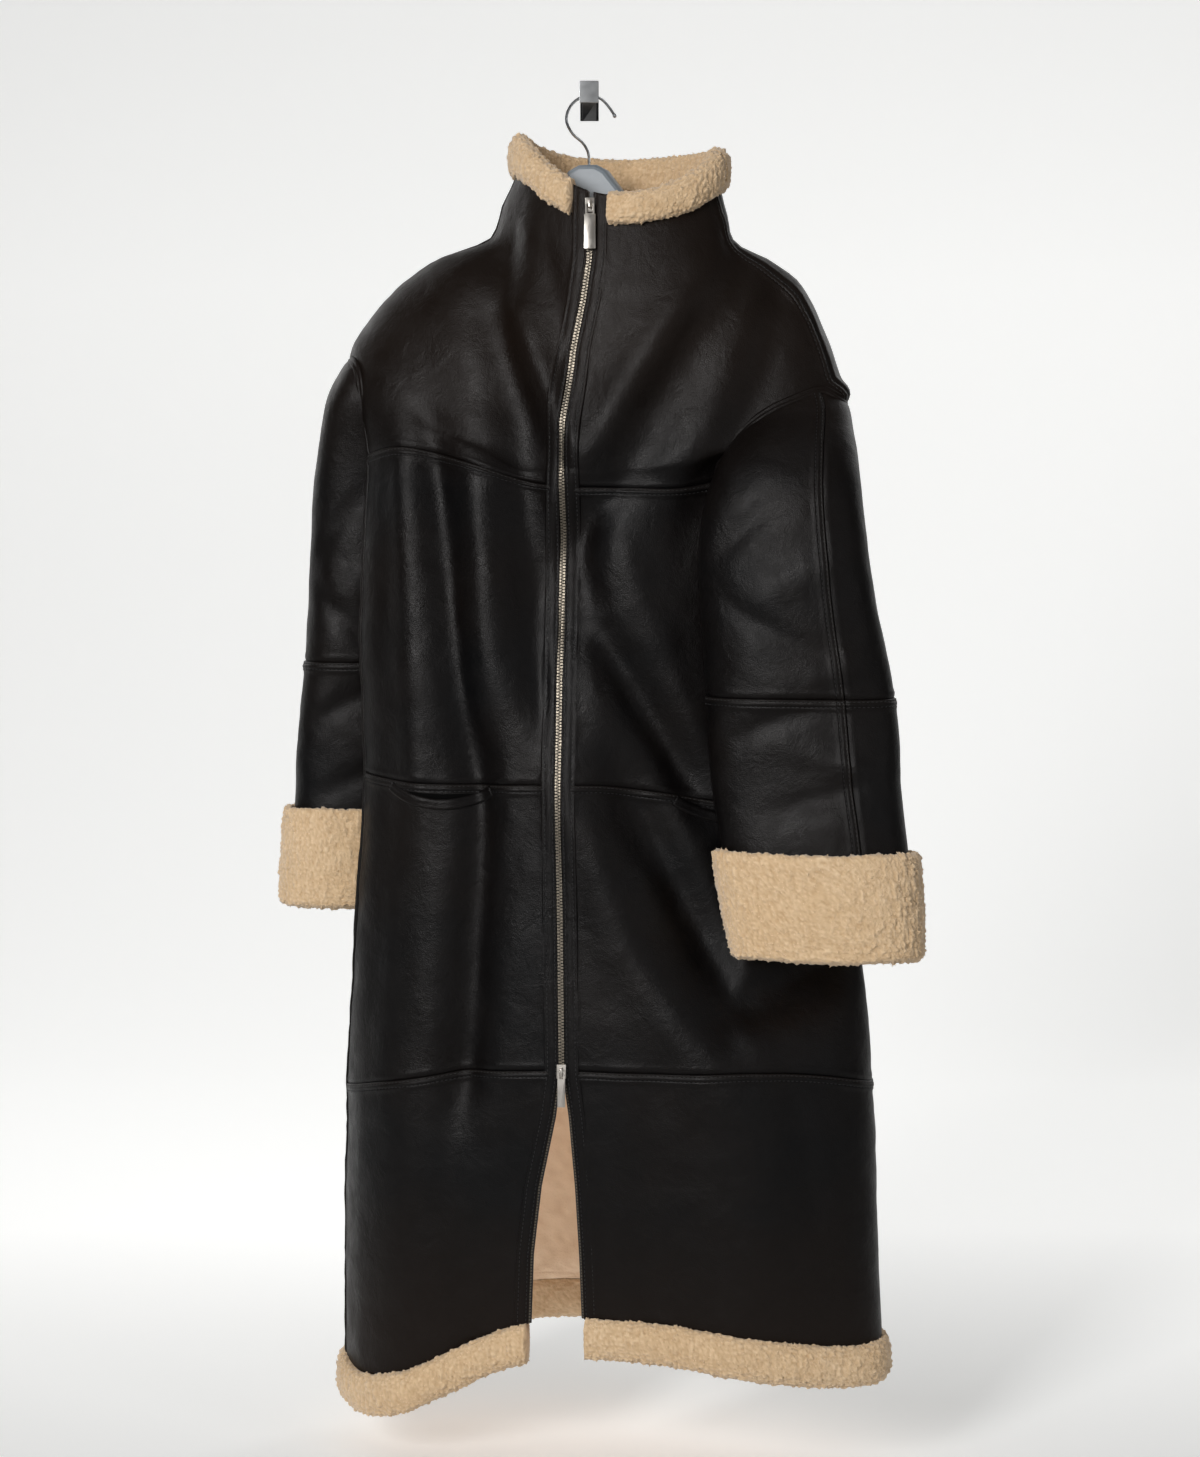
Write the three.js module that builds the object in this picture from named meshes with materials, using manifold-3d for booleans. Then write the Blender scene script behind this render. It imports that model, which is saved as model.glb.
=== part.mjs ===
// Shearling coat on a hanger, hung from a small square wall hook.
// Millimetres, +Z up. The wall is the plane y = 0 and the coat's front looks along -Y.
// The origin is the middle of the back face of the wall hook's plate.
import * as THREE from "three";
import { mergeVertices } from "three/addons/utils/BufferGeometryUtils.js";
import Module from "manifold-3d";

const wasm = await Module();
wasm.setup();

// Cloth and seams
const WALL = 8;
const SEAM_GAP = 0.3;
const FRONT_COLUMNS = 12;
const BACK_COLUMNS = 12;
const SLEEVE_COLUMNS = 18;

// Zip
const TEETH_HALF = 2.8;
const TEETH_DEPTH = 4;
const TEETH_PROUD = 1.6;
const OPEN_TEETH = 2.4;
const BAND_WIDTH = 14;
const BAND_PROUD = 0.9;
const BAND_TOP = -0.75;
const TEETH_TOP = -0.55;
const SLIDER_WIDTH = 9;
const SLIDER_LENGTH = 14;
const SLIDER_THICK = 2.6;
const BAIL = { width: 2.4, rise: 4.6, length: 8, bar: 2, legs: 1.5 };
const SINK = 0.2;
const TOP_LIFT = 0.8;
const BOTTOM_LIFT = 0.7;
const PULL_BAR = 0.9;
const TOP_PULL = { ring: 12, ringWidth: 9, tab: 34, tabWidth: 11, thick: 2.2 };
const BOTTOM_PULL = { ring: 9, ringWidth: 7, tab: 27, tabWidth: 7.5, thick: 1.8 };

// Pocket welts, each from one x to another under the hip seam
const POCKETS = [
  { wearer: "right", from: -193, to: -98, sag: 0.085 },
  { wearer: "left", from: 84, to: 176, sag: 0.05 },
];
const WELT_HEIGHT = 0.062;
const WELT_THICK = 2.6;
const WELT_COLUMNS = 8;

// Turned-out wool
const ROLL_OUT = 12;
const ROLL_IN = 10;
const ROLL_SIDES = 10;
const ROLL_OVERLAP = 2;
const HEM_ROLL_HEIGHT = 42;
const COLLAR_ROLL_HEIGHT = 42;
const COLLAR_ROLL_AT_ZIP = 30;
const CUFF_WOOL = 12;
const ROLL_SQUARE = 0.8;
const SLEEVE_SQUARE = 0.88;

// Wall hook and hanger
const HOOK_WIDTH = 19;
const ARM_TOP = 0;
const ARM_WIDTH = 14;
const ARM_THICK = 5;
const ARM_REACH = 134;
const LIP_TOP = 16;
const LIP_THICK = 3;
const PLATE_HEIGHT = LIP_TOP - ARM_TOP + ARM_THICK;
const PLATE_THICK = 4;
const HANGER_Y = -125;
const HANGER_TURN = -0.23;
const HANGER_THICK = 24;
const HANGER_BEVEL = { bevelThickness: 7, bevelSize: 5, bevelOffset: -5, bevelSegments: 3 };
const WIRE_RADIUS = 1.5;
const WIRE_TIP_RADIUS = 2.3;
const WIRE_STEPS = 30;

// Rows with named columns from plain rows of numbers
function tableOf(columns, rows) {
  const names = columns.split(" ");
  return rows.map((row) => Object.fromEntries(row.map((value, i) => [names[i], value])));
}

// Body sections from the collar's top edge to the hem. f, r, b, l are the front, viewer's right,
// back and viewer's left of each ring: z is a height, y a depth, fl and fr shift z between them.
// xl, xm and xr are the left edge, the middle and the right edge of a ring.
// nfl to nfr are how square each quarter is, from 1 (straight) to 3 (boxy).
const BODY_COLUMNS = "zf zr zb zl fl fr xl xm xr yf yr yb yl nfl nbl nbr nfr";
const BODY = tableOf(BODY_COLUMNS, [
  [-128, -93, -92, -73, 0, -4, -70, 28, 128, -206, -160, -50, -113, 2, 2, 2, 2],
  [-163, -117, -112, -103, 0, 0, -84, 28, 133, -213, -165, -46, -112, 2, 2, 2, 2],
  [-200, -143, -134, -136, 0, 0, -98, 28, 140, -218, -168, -42, -108, 2, 2, 2, 2],
  [-232, -160, -154, -153, 0, 0, -147, 24, 173, -221, -172, -39, -92, 2, 2.1, 2, 2],
  [-260, -180, -175, -171, 0, 0, -179, 20, 202, -222, -176, -36, -84, 2, 2.2, 2.1, 2],
  [-288, -203, -200, -192, 0, 0, -204, 16, 217, -223, -181, -34, -80, 2.1, 2.2, 2.1, 2],
  [-315, -238, -232, -218, 2, 0, -224, 12, 231, -223, -186, -32, -80, 2.1, 2.1, 2, 2],
  [-341, -272, -264, -243, 5, 0, -238, 8, 242, -225, -192, -30, -86, 2.1, 2, 2, 2],
  [-362, -298, -300, -272, 8, -5, -236, 5, 249, -226, -200, -28, -98, 2.1, 1.7, 1.9, 2],
  [-381, -345, -350, -349, 20, -14, -219, 2, 196, -228, -186, -27, -120, 2.2, 1.3, 2, 1.6],
  [-458, -445, -450, -452, 4, -4, -224, 2, 214, -233, -184, -26, -128, 2.2, 1.25, 2, 1.4],
  [-562, -570, -565, -560, 0, 0, -227, 4, 228, -241, -184, -25, -131, 2.2, 1.22, 2, 1.34],
  [-667, -712, -680, -663, -4, 2, -224, 6, 238, -249, -188, -24, -134, 2.2, 1.12, 2, 1.32],
  [-800, -815, -810, -806, 0, 0, -233, 10, 263, -256, -203, -26, -136, 2.2, 1.1, 2, 1.45],
  [-943, -958, -962, -981, 2, 8, -243, 16, 277, -264, -222, -28, -118, 2.3, 2, 2.2, 2],
  [-1075, -1090, -1100, -1124, -14, 2, -246, 18, 281, -255, -226, -33, -112, 2.4, 2.1, 2.2, 2.2],
  [-1193, -1212, -1208, -1262, -32, -8, -248, 18, 287, -243, -228, -40, -110, 2.5, 2.1, 2.2, 2.4],
]);

// Seams between the body's pieces, as places between the sections above
const TOP_EDGE = 0;
const YOKE_SEAM = 9;
const HIP_SEAM = 12;
const LOW_SEAM = 14;
const HEM_EDGE = 16;
const YOKE_ROWS = 14;
const MID_ROWS = 10;
const LOWER_ROWS = 9;
const HEM_ROWS = 8;

// Line of the zip: above the bottom slider both edges are one, below it the fronts part.
const ZIP_LINE = [
  { z: -98, left: 2, right: 2 },
  { z: -163, left: 1, right: 1 },
  { z: -203, left: -5, right: -5 },
  { z: -251, left: -15, right: -15 },
  { z: -317, left: -23, right: -23 },
  { z: -375, left: -26, right: -26 },
  { z: -451, left: -29, right: -29 },
  { z: -662, left: -29, right: -29 },
  { z: -944, left: -26, right: -26 },
  { z: -990, left: -32, right: -20 },
  { z: -1060, left: -46, right: -14 },
  { z: -1130, left: -54, right: -10 },
  { z: -1240, left: -58, right: -6 },
];

// Largest folds of the front: a soft ridge (depth over 0) or trough along a path of x, z points
const FOLDS = [
  // Ridge from the left shoulder to the zip
  { depth: 11, width: 24, path: [[136, -152], [52, -268], [5, -344]] },
  // Trough beside that ridge
  { depth: -11, width: 26, path: [[130, -186], [52, -336], [-8, -422]] },
  // Trough above the left sleeve
  { depth: -8, width: 22, path: [[182, -205], [164, -285], [121, -374]] },
  // Trough from the right collar to the zip
  { depth: -12, width: 22, path: [[-92, -170], [-92, -216], [-68, -318], [-47, -417], [-30, -502]] },
  // Ridge beside the zip
  { depth: 8, width: 20, path: [[-73, -225], [-30, -310]] },
  // Right chest trough
  { depth: -10, width: 20, path: [[-150, -365], [-124, -621]] },
  // Right inner trough
  { depth: -9, width: 20, path: [[-68, -438], [-51, -566]] },
  // Right outer ridge
  { depth: 6, width: 20, path: [[-178, -390], [-168, -640]] },
  // Right middle ridge
  { depth: 7, width: 20, path: [[-106, -410], [-92, -640]] },
  // Left waist trough
  { depth: -14, width: 24, path: [[-8, -430], [-2, -511], [39, -566], [79, -630]] },
  // Right skirt trough
  { depth: -15, width: 26, path: [[-103, -667], [-112, -790], [-120, -922]] },
  // Left skirt ridge
  { depth: 8, width: 26, path: [[-4, -720], [40, -830], [90, -905]] },
  // Left skirt trough
  { depth: -14, width: 26, path: [[50, -700], [95, -800], [140, -880], [196, -860]] },
  // Dent behind the left cuff
  { depth: -16, width: 70, path: [[190, -775]] },
  // Right hem bulge
  { depth: 20, width: 62, path: [[-178, -1060], [-182, -1250]] },
  // Left hem bulge
  { depth: 10, width: 60, path: [[150, -1080], [150, -1220]] },
];

// Folds of the back, hidden in the usual view
const BACK_FOLDS = [
  // Dent behind the right cuff
  { depth: -14, width: 50, path: [[-178, -725], [-178, -790]] },
  // Back middle trough
  { depth: -9, width: 34, path: [[10, -420], [0, -900]] },
  // Back right ridge
  { depth: 4, width: 34, path: [[-110, -980], [-120, -1200]] },
  // Back left trough
  { depth: -9, width: 30, path: [[120, -560], [140, -1190]] },
];

// Sleeves, each a tube of sections: outer edges in x and y at a height
const LEFT_SLEEVE = [
  { z: -262, xl: 160, xr: 238, yf: -226, yb: -150, skew: -0.1 },
  { z: -300, xl: 157, xr: 250.5, yf: -240, yb: -160, skew: -0.1 },
  { z: -345, xl: 130, xr: 256, yf: -276, yb: -182, skew: -0.12 },
  { z: -395, xl: 111, xr: 261, yf: -298, yb: -206, skew: -0.14 },
  { z: -480, xl: 105, xr: 272, yf: -308, yb: -217, skew: -0.16 },
  { z: -580, xl: 109, xr: 289, yf: -314, yb: -222, skew: -0.16 },
  { z: -660, xl: 116, xr: 296, yf: -319, yb: -230, skew: -0.16 },
  { z: -722, xl: 126, xr: 303, yf: -326, yb: -246, skew: -0.14 },
  { z: -824, xl: 146, xr: 308, yf: -330, yb: -256, skew: -0.12 },
];
const RIGHT_SLEEVE = [
  { z: -228, xl: -230, xr: -175, yf: -112, yb: -45, skew: 0 },
  { z: -256, xl: -247, xr: -172, yf: -122, yb: -34, skew: 0 },
  { z: -292, xl: -266, xr: -171, yf: -128, yb: -24, skew: 0 },
  { z: -353, xl: -277, xr: -170, yf: -116, yb: -16, skew: 0.04 },
  { z: -455, xl: -285, xr: -168, yf: -109, yb: -14, skew: 0.06 },
  { z: -557, xl: -293, xr: -166, yf: -108, yb: -14, skew: 0.06 },
  { z: -640, xl: -298, xr: -167, yf: -108, yb: -14, skew: 0.06 },
  { z: -702, xl: -303, xr: -178, yf: -104, yb: -18, skew: 0.06 },
  { z: -804, xl: -309, xr: -184, yf: -104, yb: -18, skew: 0.06 },
];
const ELBOW_SEAM = 5;
const SLEEVE_END = 8;
const CUFF_START = 7;
const SLEEVE_ROWS = 7;
const CUFF_ROWS = 5;

// Colours and finishes
const LEATHER = { color: 0x17171a, roughness: 0.42, metalness: 0 };
const WOOL = { color: 0xd8bd95, roughness: 0.95, metalness: 0 };
const ZIP_METAL = { color: 0xb9b4a8, roughness: 0.3, metalness: 1 };
const HANGER_GREY = { color: 0x8b939b, roughness: 0.6, metalness: 0 };
const STEEL = { color: 0x8d9298, roughness: 0.3, metalness: 1 };
const HOOK_BLACK = { color: 0x17181a, roughness: 0.4, metalness: 0.6 };

const coat = new THREE.Group();
const FRONT_SWEEP = (85 * Math.PI) / 180;

// Value of one named column between the rows of a table, on a smooth curve through them
function between(table, key, t) {
  if (t < 0) return table[0][key] + t * (table[1][key] - table[0][key]);
  const last = table.length - 1;
  const i = Math.min(Math.floor(Math.max(t, 0)), last - 1);
  const s = Math.min(Math.max(t, 0), last) - i;
  const p0 = table[Math.max(i - 1, 0)][key];
  const p1 = table[i][key];
  const p2 = table[i + 1][key];
  const p3 = table[Math.min(i + 2, last)][key];
  const m1 = (p2 - p0) / 2;
  const m2 = (p3 - p1) / 2;
  const s2 = s * s;
  const s3 = s2 * s;
  return (2 * s3 - 3 * s2 + 1) * p1 + (s3 - 2 * s2 + s) * m1 + (3 * s2 - 2 * s3) * p2 + (s3 - s2) * m2;
}

// Straight-line value of a column at a height
function atHeight(table, key, z) {
  let i = 0;
  while (i < table.length - 2 && table[i + 1].z > z) i++;
  const s = (z - table[i].z) / (table[i + 1].z - table[i].z);
  const clamped = Math.min(Math.max(s, 0), 1);
  return table[i][key] + clamped * (table[i + 1][key] - table[i][key]);
}

// Hanger wire from its small end ball over the hook and down to the neck: across and up
const WIRE_PATH = [
  [26, -17], [20, -8.3], [11.5, 0.1], [0, 3.2], [-11.5, 0.1], [-20, -8.3],
  [-23, -20], [-17, -33], [-6, -43], [-0.6, -53], [0, -64.2],
];
// Hanger body, its upper edge from the neck out, then its lower edge back in
const HANGER_EDGE = [
  [0, -64.5], [9, -64.8], [19, -70], [30, -84], [48, -106], [80, -128],
  [120, -138], [160, -152], [190, -172], [208, -200], [205, -216], [192, -218],
  [140, -196], [80, -172], [40, -152], [0, -142],
];

// A point of the body's smooth surface. The angle is 0 in front and grows towards the viewer's right.
function bodyPoint(angle, t) {
  const get = (key) => between(BODY, key, t);
  const sin = Math.sin(angle);
  const cos = Math.cos(angle);
  const middle = get("xm");
  const right = sin > 0;
  const front = cos > 0;
  const power = 2 / get(`n${front ? "f" : "b"}${right ? "r" : "l"}`);
  const across = Math.abs(sin) ** power;
  const along = Math.abs(cos) ** power;
  const xl = get("xl");
  const xr = get("xr");
  const x = right ? middle + (xr - middle) * across : middle - (middle - xl) * across;
  const share = (x - xl) / (xr - xl);
  const sideY = get("yl") + (get("yr") - get("yl")) * share;
  const middleY = get("yl") + ((get("yr") - get("yl")) * (middle - xl)) / (xr - xl);
  const y = sideY + ((front ? get("yf") : get("yb")) - middleY) * along;
  const diagonal = front ? get(right ? "fr" : "fl") * Math.sin(2 * angle) ** 2 : 0;
  const z = cos * cos * get(front ? "zf" : "zb") + sin * sin * get(right ? "zr" : "zl") + diagonal;
  return new THREE.Vector3(x, y, z);
}

// A sine or cosine that makes a circle squarer, by a power under 1
function squared(value, power) {
  return Math.sign(value) * Math.abs(value) ** power;
}

// Distance from a point to a path of x, z points
function distanceToPath(x, z, path) {
  if (path.length === 1) return Math.hypot(x - path[0][0], z - path[0][1]);
  let least = Infinity;
  for (let i = 1; i < path.length; i++) {
    const [ax, az] = path[i - 1];
    const [bx, bz] = path[i];
    const dx = bx - ax;
    const dz = bz - az;
    const s = Math.min(Math.max(((x - ax) * dx + (z - az) * dz) / (dx * dx + dz * dz), 0), 1);
    least = Math.min(least, Math.hypot(x - ax - s * dx, z - az - s * dz));
  }
  return least;
}

// How far the folds move a point of the body out (over 0) or in
function foldDepth(point, angle) {
  const facing = Math.cos(angle);
  const list = facing > 0 ? FOLDS : BACK_FOLDS;
  const fade = Math.min(1, Math.abs(facing) * 2.2);
  let sum = 0;
  for (const fold of list) {
    const d = distanceToPath(point.x, point.z, fold.path) / fold.width;
    sum += fold.depth * Math.exp(-d * d);
  }
  return sum * fade;
}

// Normal of a surface function, from its two directions
function normalOf(surface, angle, t) {
  const du = surface(angle + 0.02, t).sub(surface(angle - 0.02, t));
  const dv = surface(angle, t + 0.05).sub(surface(angle, t - 0.05));
  return dv.cross(du).normalize();
}

// A point of the coat's body, moved out from the smooth surface by its folds and by an offset
function bodySurface(angle, t, offset) {
  const point = bodyPoint(angle, t);
  const normal = normalOf(bodyPoint, angle, t);
  return point.addScaledVector(normal, foldDepth(point, angle) + offset);
}

// Angle where the body's front meets a line of x by height
function angleAtLine(t, lineX) {
  let low = -FRONT_SWEEP;
  let high = FRONT_SWEEP;
  for (let i = 0; i < 40; i++) {
    const angle = (low + high) / 2;
    const p = bodyPoint(angle, t);
    if (p.x < lineX(p.z)) low = angle;
    else high = angle;
  }
  return (low + high) / 2;
}

// Angles where the seams between front and back run, on either side
function sideAngle(t, side) {
  const shoulder = Math.min(Math.max((t - 7) / 3, 0), 1);
  return side > 0 ? THREE.MathUtils.lerp(1.3, 1.78, shoulder) : -THREE.MathUtils.lerp(1.6, 1.45, shoulder);
}

const zipX = (side) => (z) => atHeight(ZIP_LINE, side > 0 ? "right" : "left", z) + side * TEETH_HALF;
const bandX = (side) => (z) => zipX(side)(z) + side * (BAND_WIDTH + SEAM_GAP);

// Angles of the columns of one piece, at a place down the body. The side is +1 on the viewer's right.
const COLUMNS = {
  front: (side) => (t) => across(side, angleAtLine(t, bandX(side)), sideAngle(t, side), FRONT_COLUMNS),
  band: (side) => (t) => across(side, angleAtLine(t, zipX(side)), angleAtLine(t, bandX(side)), 1),
  back: () => (t) => spread(sideAngle(t, 1), sideAngle(t, -1) + 2 * Math.PI, BACK_COLUMNS),
};

// Columns between the zip and a side, always in order of their angle
function across(side, nearZip, farSide, count) {
  return side > 0 ? spread(nearZip, farSide, count) : spread(farSide, nearZip, count);
}

function spread(from, to, count) {
  return Array.from({ length: count + 1 }, (_, i) => from + ((to - from) * i) / count);
}

// Grid of points of a surface function: rows down, columns across, its border drawn in by the seam gap
function gridOf(surface, columnsAt, rows, offset, inset) {
  const half = SEAM_GAP / 2;
  return rows.map((t, r) => {
    const angles = columnsAt(t);
    return angles.map((angle, c) => {
      let a = angle;
      let place = t;
      const perAngle = surface(angle + 0.01, t, offset).distanceTo(surface(angle - 0.01, t, offset)) / 0.02;
      const nextRow = r === 0 ? t + 0.02 : t - 0.02;
      const perRow = surface(angle, nextRow, offset).distanceTo(surface(angle, t, offset)) / 0.02;
      if (inset.sides && c === 0) a += half / perAngle;
      if (inset.sides && c === angles.length - 1) a -= half / perAngle;
      if (inset.top && r === 0) place += half / perRow;
      if (inset.bottom && r === rows.length - 1) place -= half / perRow;
      return surface(a, place, offset);
    });
  });
}

// Closed solid from two grids of points that face each other
function wallSolid(outer, inner, closedAcross) {
  const rows = outer.length;
  const columns = outer[0].length;
  const positions = [];
  for (const p of [outer, inner].flat(2)) positions.push(p.x, p.y, p.z);
  const at = (layer, r, c) => layer * rows * columns + r * columns + (c % columns);
  const faces = [];
  const quad = (a, b, c, d) => faces.push(a, b, c, a, c, d);
  const spans = closedAcross ? columns : columns - 1;
  for (let r = 0; r < rows - 1; r++) {
    for (let c = 0; c < spans; c++) {
      quad(at(0, r, c), at(0, r + 1, c), at(0, r + 1, c + 1), at(0, r, c + 1));
      quad(at(1, r, c), at(1, r, c + 1), at(1, r + 1, c + 1), at(1, r + 1, c));
    }
  }
  for (let c = 0; c < spans; c++) {
    quad(at(0, 0, c), at(0, 0, c + 1), at(1, 0, c + 1), at(1, 0, c));
    quad(at(0, rows - 1, c), at(1, rows - 1, c), at(1, rows - 1, c + 1), at(0, rows - 1, c + 1));
  }
  if (!closedAcross) {
    for (let r = 0; r < rows - 1; r++) {
      quad(at(0, r, 0), at(1, r, 0), at(1, r + 1, 0), at(0, r + 1, 0));
      const e = columns - 1;
      quad(at(0, r, e), at(0, r + 1, e), at(1, r + 1, e), at(1, r, e));
    }
  }
  return solidOf(bufferOf(positions, faces));
}

// Closed solid through rings of points, capped by a fan at both ends
function loftSolid(rings) {
  const count = rings[0].length;
  const positions = [];
  const faces = [];
  for (const p of rings.flat()) positions.push(p.x, p.y, p.z);
  for (let r = 0; r < rings.length - 1; r++) {
    for (let c = 0; c < count; c++) {
      const d = (c + 1) % count;
      const a = r * count;
      faces.push(a + c, a + count + c, a + count + d, a + c, a + count + d, a + d);
    }
  }
  const cap = (ring, base, turned) => {
    const middle = ring.reduce((sum, p) => sum.add(p), new THREE.Vector3()).divideScalar(count);
    const hub = positions.length / 3;
    positions.push(middle.x, middle.y, middle.z);
    for (let c = 0; c < count; c++) {
      const d = (c + 1) % count;
      faces.push(...(turned ? [hub, base + d, base + c] : [hub, base + c, base + d]));
    }
  };
  cap(rings[0], 0, false);
  cap(rings[rings.length - 1], (rings.length - 1) * count, true);
  return solidOf(bufferOf(positions, faces));
}

function bufferOf(positions, faces) {
  const geometry = new THREE.BufferGeometry();
  geometry.setAttribute("position", new THREE.Float32BufferAttribute(positions, 3));
  geometry.setIndex(faces);
  return geometry;
}

// Manifold solid of a three.js geometry, turned the right way out
function solidOf(geometry) {
  const plain = geometry.clone();
  plain.deleteAttribute("normal");
  plain.deleteAttribute("uv");
  const merged = mergeVertices(plain, 1e-4);
  const make = (triVerts) =>
    new wasm.Manifold(
      new wasm.Mesh({ numProp: 3, vertProperties: merged.attributes.position.array, triVerts }),
    );
  const triVerts = new Uint32Array(merged.index.array);
  const made = make(triVerts);
  if (made.volume() > 0) return made;
  for (let i = 0; i < triVerts.length; i += 3) {
    [triVerts[i + 1], triVerts[i + 2]] = [triVerts[i + 2], triVerts[i + 1]];
  }
  return make(triVerts);
}

// The largest body of a solid that a cut left in pieces
function largest(solid) {
  return solid.decompose().reduce((best, body) => (body.volume() > best.volume() ? body : best));
}

function add(name, solid, finish) {
  const mesh = solid.getMesh();
  const geometry = bufferOf(mesh.vertProperties, Array.from(mesh.triVerts)).toNonIndexed();
  geometry.computeVertexNormals();
  const material = new THREE.MeshStandardMaterial(finish);
  const piece = new THREE.Mesh(geometry, material);
  piece.name = name;
  coat.add(piece);
}

// Rows between two seams of the body
const ROWS = {
  yoke: spread(TOP_EDGE, YOKE_SEAM, YOKE_ROWS),
  mid: spread(YOKE_SEAM, HIP_SEAM, MID_ROWS),
  lower: spread(HIP_SEAM, LOW_SEAM, LOWER_ROWS),
  hem: spread(LOW_SEAM, HEM_EDGE, HEM_ROWS),
};
const ALL_ROWS = [ROWS.yoke, ROWS.mid.slice(1), ROWS.lower.slice(1), ROWS.hem.slice(1)].flat();

function bodyWall(columnsAt, rows, inset = { sides: true, top: true, bottom: true }, proud = 0) {
  const outer = gridOf(bodySurface, columnsAt, rows, proud, inset);
  const inner = gridOf(bodySurface, columnsAt, rows, -WALL, inset);
  return wallSolid(outer, inner, false);
}

// Rings of the whole body, grown or shrunk by an offset and moved up or down
function bodyRings(rows, offset, rise = 0) {
  return rows.map((t) => {
    const right = COLUMNS.front(1)(t);
    const back = COLUMNS.back()(t).slice(1);
    const left = COLUMNS.front(-1)(t).slice(1);
    const ring = [...right, ...back, ...left].map((angle) => bodySurface(angle, t, offset));
    for (const p of ring) p.z += rise;
    return ring;
  });
}

// The whole body as one filled solid
function bodyFilled(offset) {
  return loftSolid(bodyRings(ALL_ROWS, offset));
}

// The body's wall near one edge, grown by the seam gap, to cut what lies against that edge
function edgeCutter(rows, rise) {
  const outer = bodyRings(rows, BAND_PROUD + SEAM_GAP, rise);
  const inner = bodyRings(rows, -WALL - SEAM_GAP, rise);
  return wallSolid(outer, inner, true);
}

// A sleeve's tube, its angle counted as the body's is
function sleeveSurface(table) {
  const point = (angle, t) => {
    const get = (key) => between(table, key, t);
    const halfX = (get("xr") - get("xl")) / 2;
    const halfY = (get("yb") - get("yf")) / 2;
    const across = squared(Math.sin(angle), SLEEVE_SQUARE);
    const along = squared(Math.cos(angle), SLEEVE_SQUARE);
    const x = (get("xl") + get("xr")) / 2 + halfX * across;
    const y = (get("yf") + get("yb")) / 2 - halfY * along * 0.94 + get("skew") * halfX * across;
    return new THREE.Vector3(x, y, get("z"));
  };
  return (angle, t, offset) => {
    const p = point(angle, t);
    return p.addScaledVector(normalOf(point, angle, t), offset + sleeveFold(angle, t));
  };
}

// Soft uneven rumples of a sleeve, deepest at the elbow
function sleeveFold(angle, t) {
  const elbow = Math.exp(-(((t - ELBOW_SEAM) / 1.6) ** 2));
  return 2.2 * elbow * Math.sin(3 * angle + 1.9 * t) - 1.2;
}

const bodyOuter = bodyFilled(SEAM_GAP);
const bodyInner = bodyFilled(-WALL - SEAM_GAP);

// Sleeves: front and back halves, above and below the elbow, and the turned-up wool cuff
const SLEEVES = [
  { name: "left", table: LEFT_SLEEVE, frontFrom: 0.42 - Math.PI },
  { name: "right", table: RIGHT_SLEEVE, frontFrom: -2.1 },
];
const UPPER_ROWS = spread(0, ELBOW_SEAM, SLEEVE_ROWS + 2);
const LOWER_SLEEVE_ROWS = spread(ELBOW_SEAM, SLEEVE_END, SLEEVE_ROWS);
const armholes = [];
for (const sleeve of SLEEVES) {
  const surface = sleeveSurface(sleeve.table);
  const half = SLEEVE_COLUMNS / 2;
  const frontTo = sleeve.frontFrom + Math.PI;
  const front = () => spread(sleeve.frontFrom, frontTo, half);
  const back = () => spread(frontTo, frontTo + Math.PI, half);
  for (const [face, columnsAt] of [["front", front], ["back", back]]) {
    for (const [level, rows] of [["upper", UPPER_ROWS], ["lower", LOWER_SLEEVE_ROWS]]) {
      const inset = { sides: true, top: true, bottom: true };
      const outer = gridOf(surface, columnsAt, rows, 0, inset);
      const inner = gridOf(surface, columnsAt, rows, -WALL, inset);
      const piece = wallSolid(outer, inner, false);
      const free = level === "upper" ? largest(piece.subtract(bodyOuter)) : piece;
      add(`sleeve_${sleeve.name}_${face}_${level}`, free, LEATHER);
    }
  }
  const around = spread(sleeve.frontFrom, sleeve.frontFrom + 2 * Math.PI, SLEEVE_COLUMNS).slice(1);
  const ringsAt = (rows, offset) => rows.map((t) => around.map((angle) => surface(angle, t, offset)));
  armholes.push(loftSolid(ringsAt(UPPER_ROWS, -WALL)));
  const cuffEnds = (t) => Math.min(1, 6 * Math.min(t - CUFF_START, SLEEVE_END - t) + 0.55);
  const cuffRings = spread(CUFF_START, SLEEVE_END, CUFF_ROWS).map((t) =>
    around.map((angle) => surface(angle, t, SEAM_GAP + CUFF_WOOL * cuffEnds(t))),
  );
  const coreRings = ringsAt(LOWER_SLEEVE_ROWS, SEAM_GAP);
  const below = coreRings[coreRings.length - 1].map((p) => p.clone().setZ(p.z - CUFF_WOOL));
  add(`cuff_${sleeve.name}`, loftSolid(cuffRings).subtract(loftSolid([...coreRings, below])), WOOL);
}

// Body pieces, with the armholes cut where the sleeves join
function cutArmholes(solid) {
  return largest(armholes.reduce((rest, hole) => rest.subtract(hole), solid));
}
const WEARER = { 1: "left", [-1]: "right" };
for (const side of [-1, 1]) {
  for (const [level, rows] of Object.entries(ROWS)) {
    const piece = bodyWall(COLUMNS.front(side), rows);
    const atArmhole = level === "yoke" || level === "mid";
    add(`front_${WEARER[side]}_${level}`, atArmhole ? cutArmholes(piece) : piece, LEATHER);
  }
}
const BACK_ROWS = [ROWS.mid, ROWS.lower.slice(1), ROWS.hem.slice(1)].flat();
add("back_yoke", cutArmholes(bodyWall(COLUMNS.back(), ROWS.yoke)), LEATHER);
add("back_body", cutArmholes(bodyWall(COLUMNS.back(), BACK_ROWS)), LEATHER);

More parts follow.
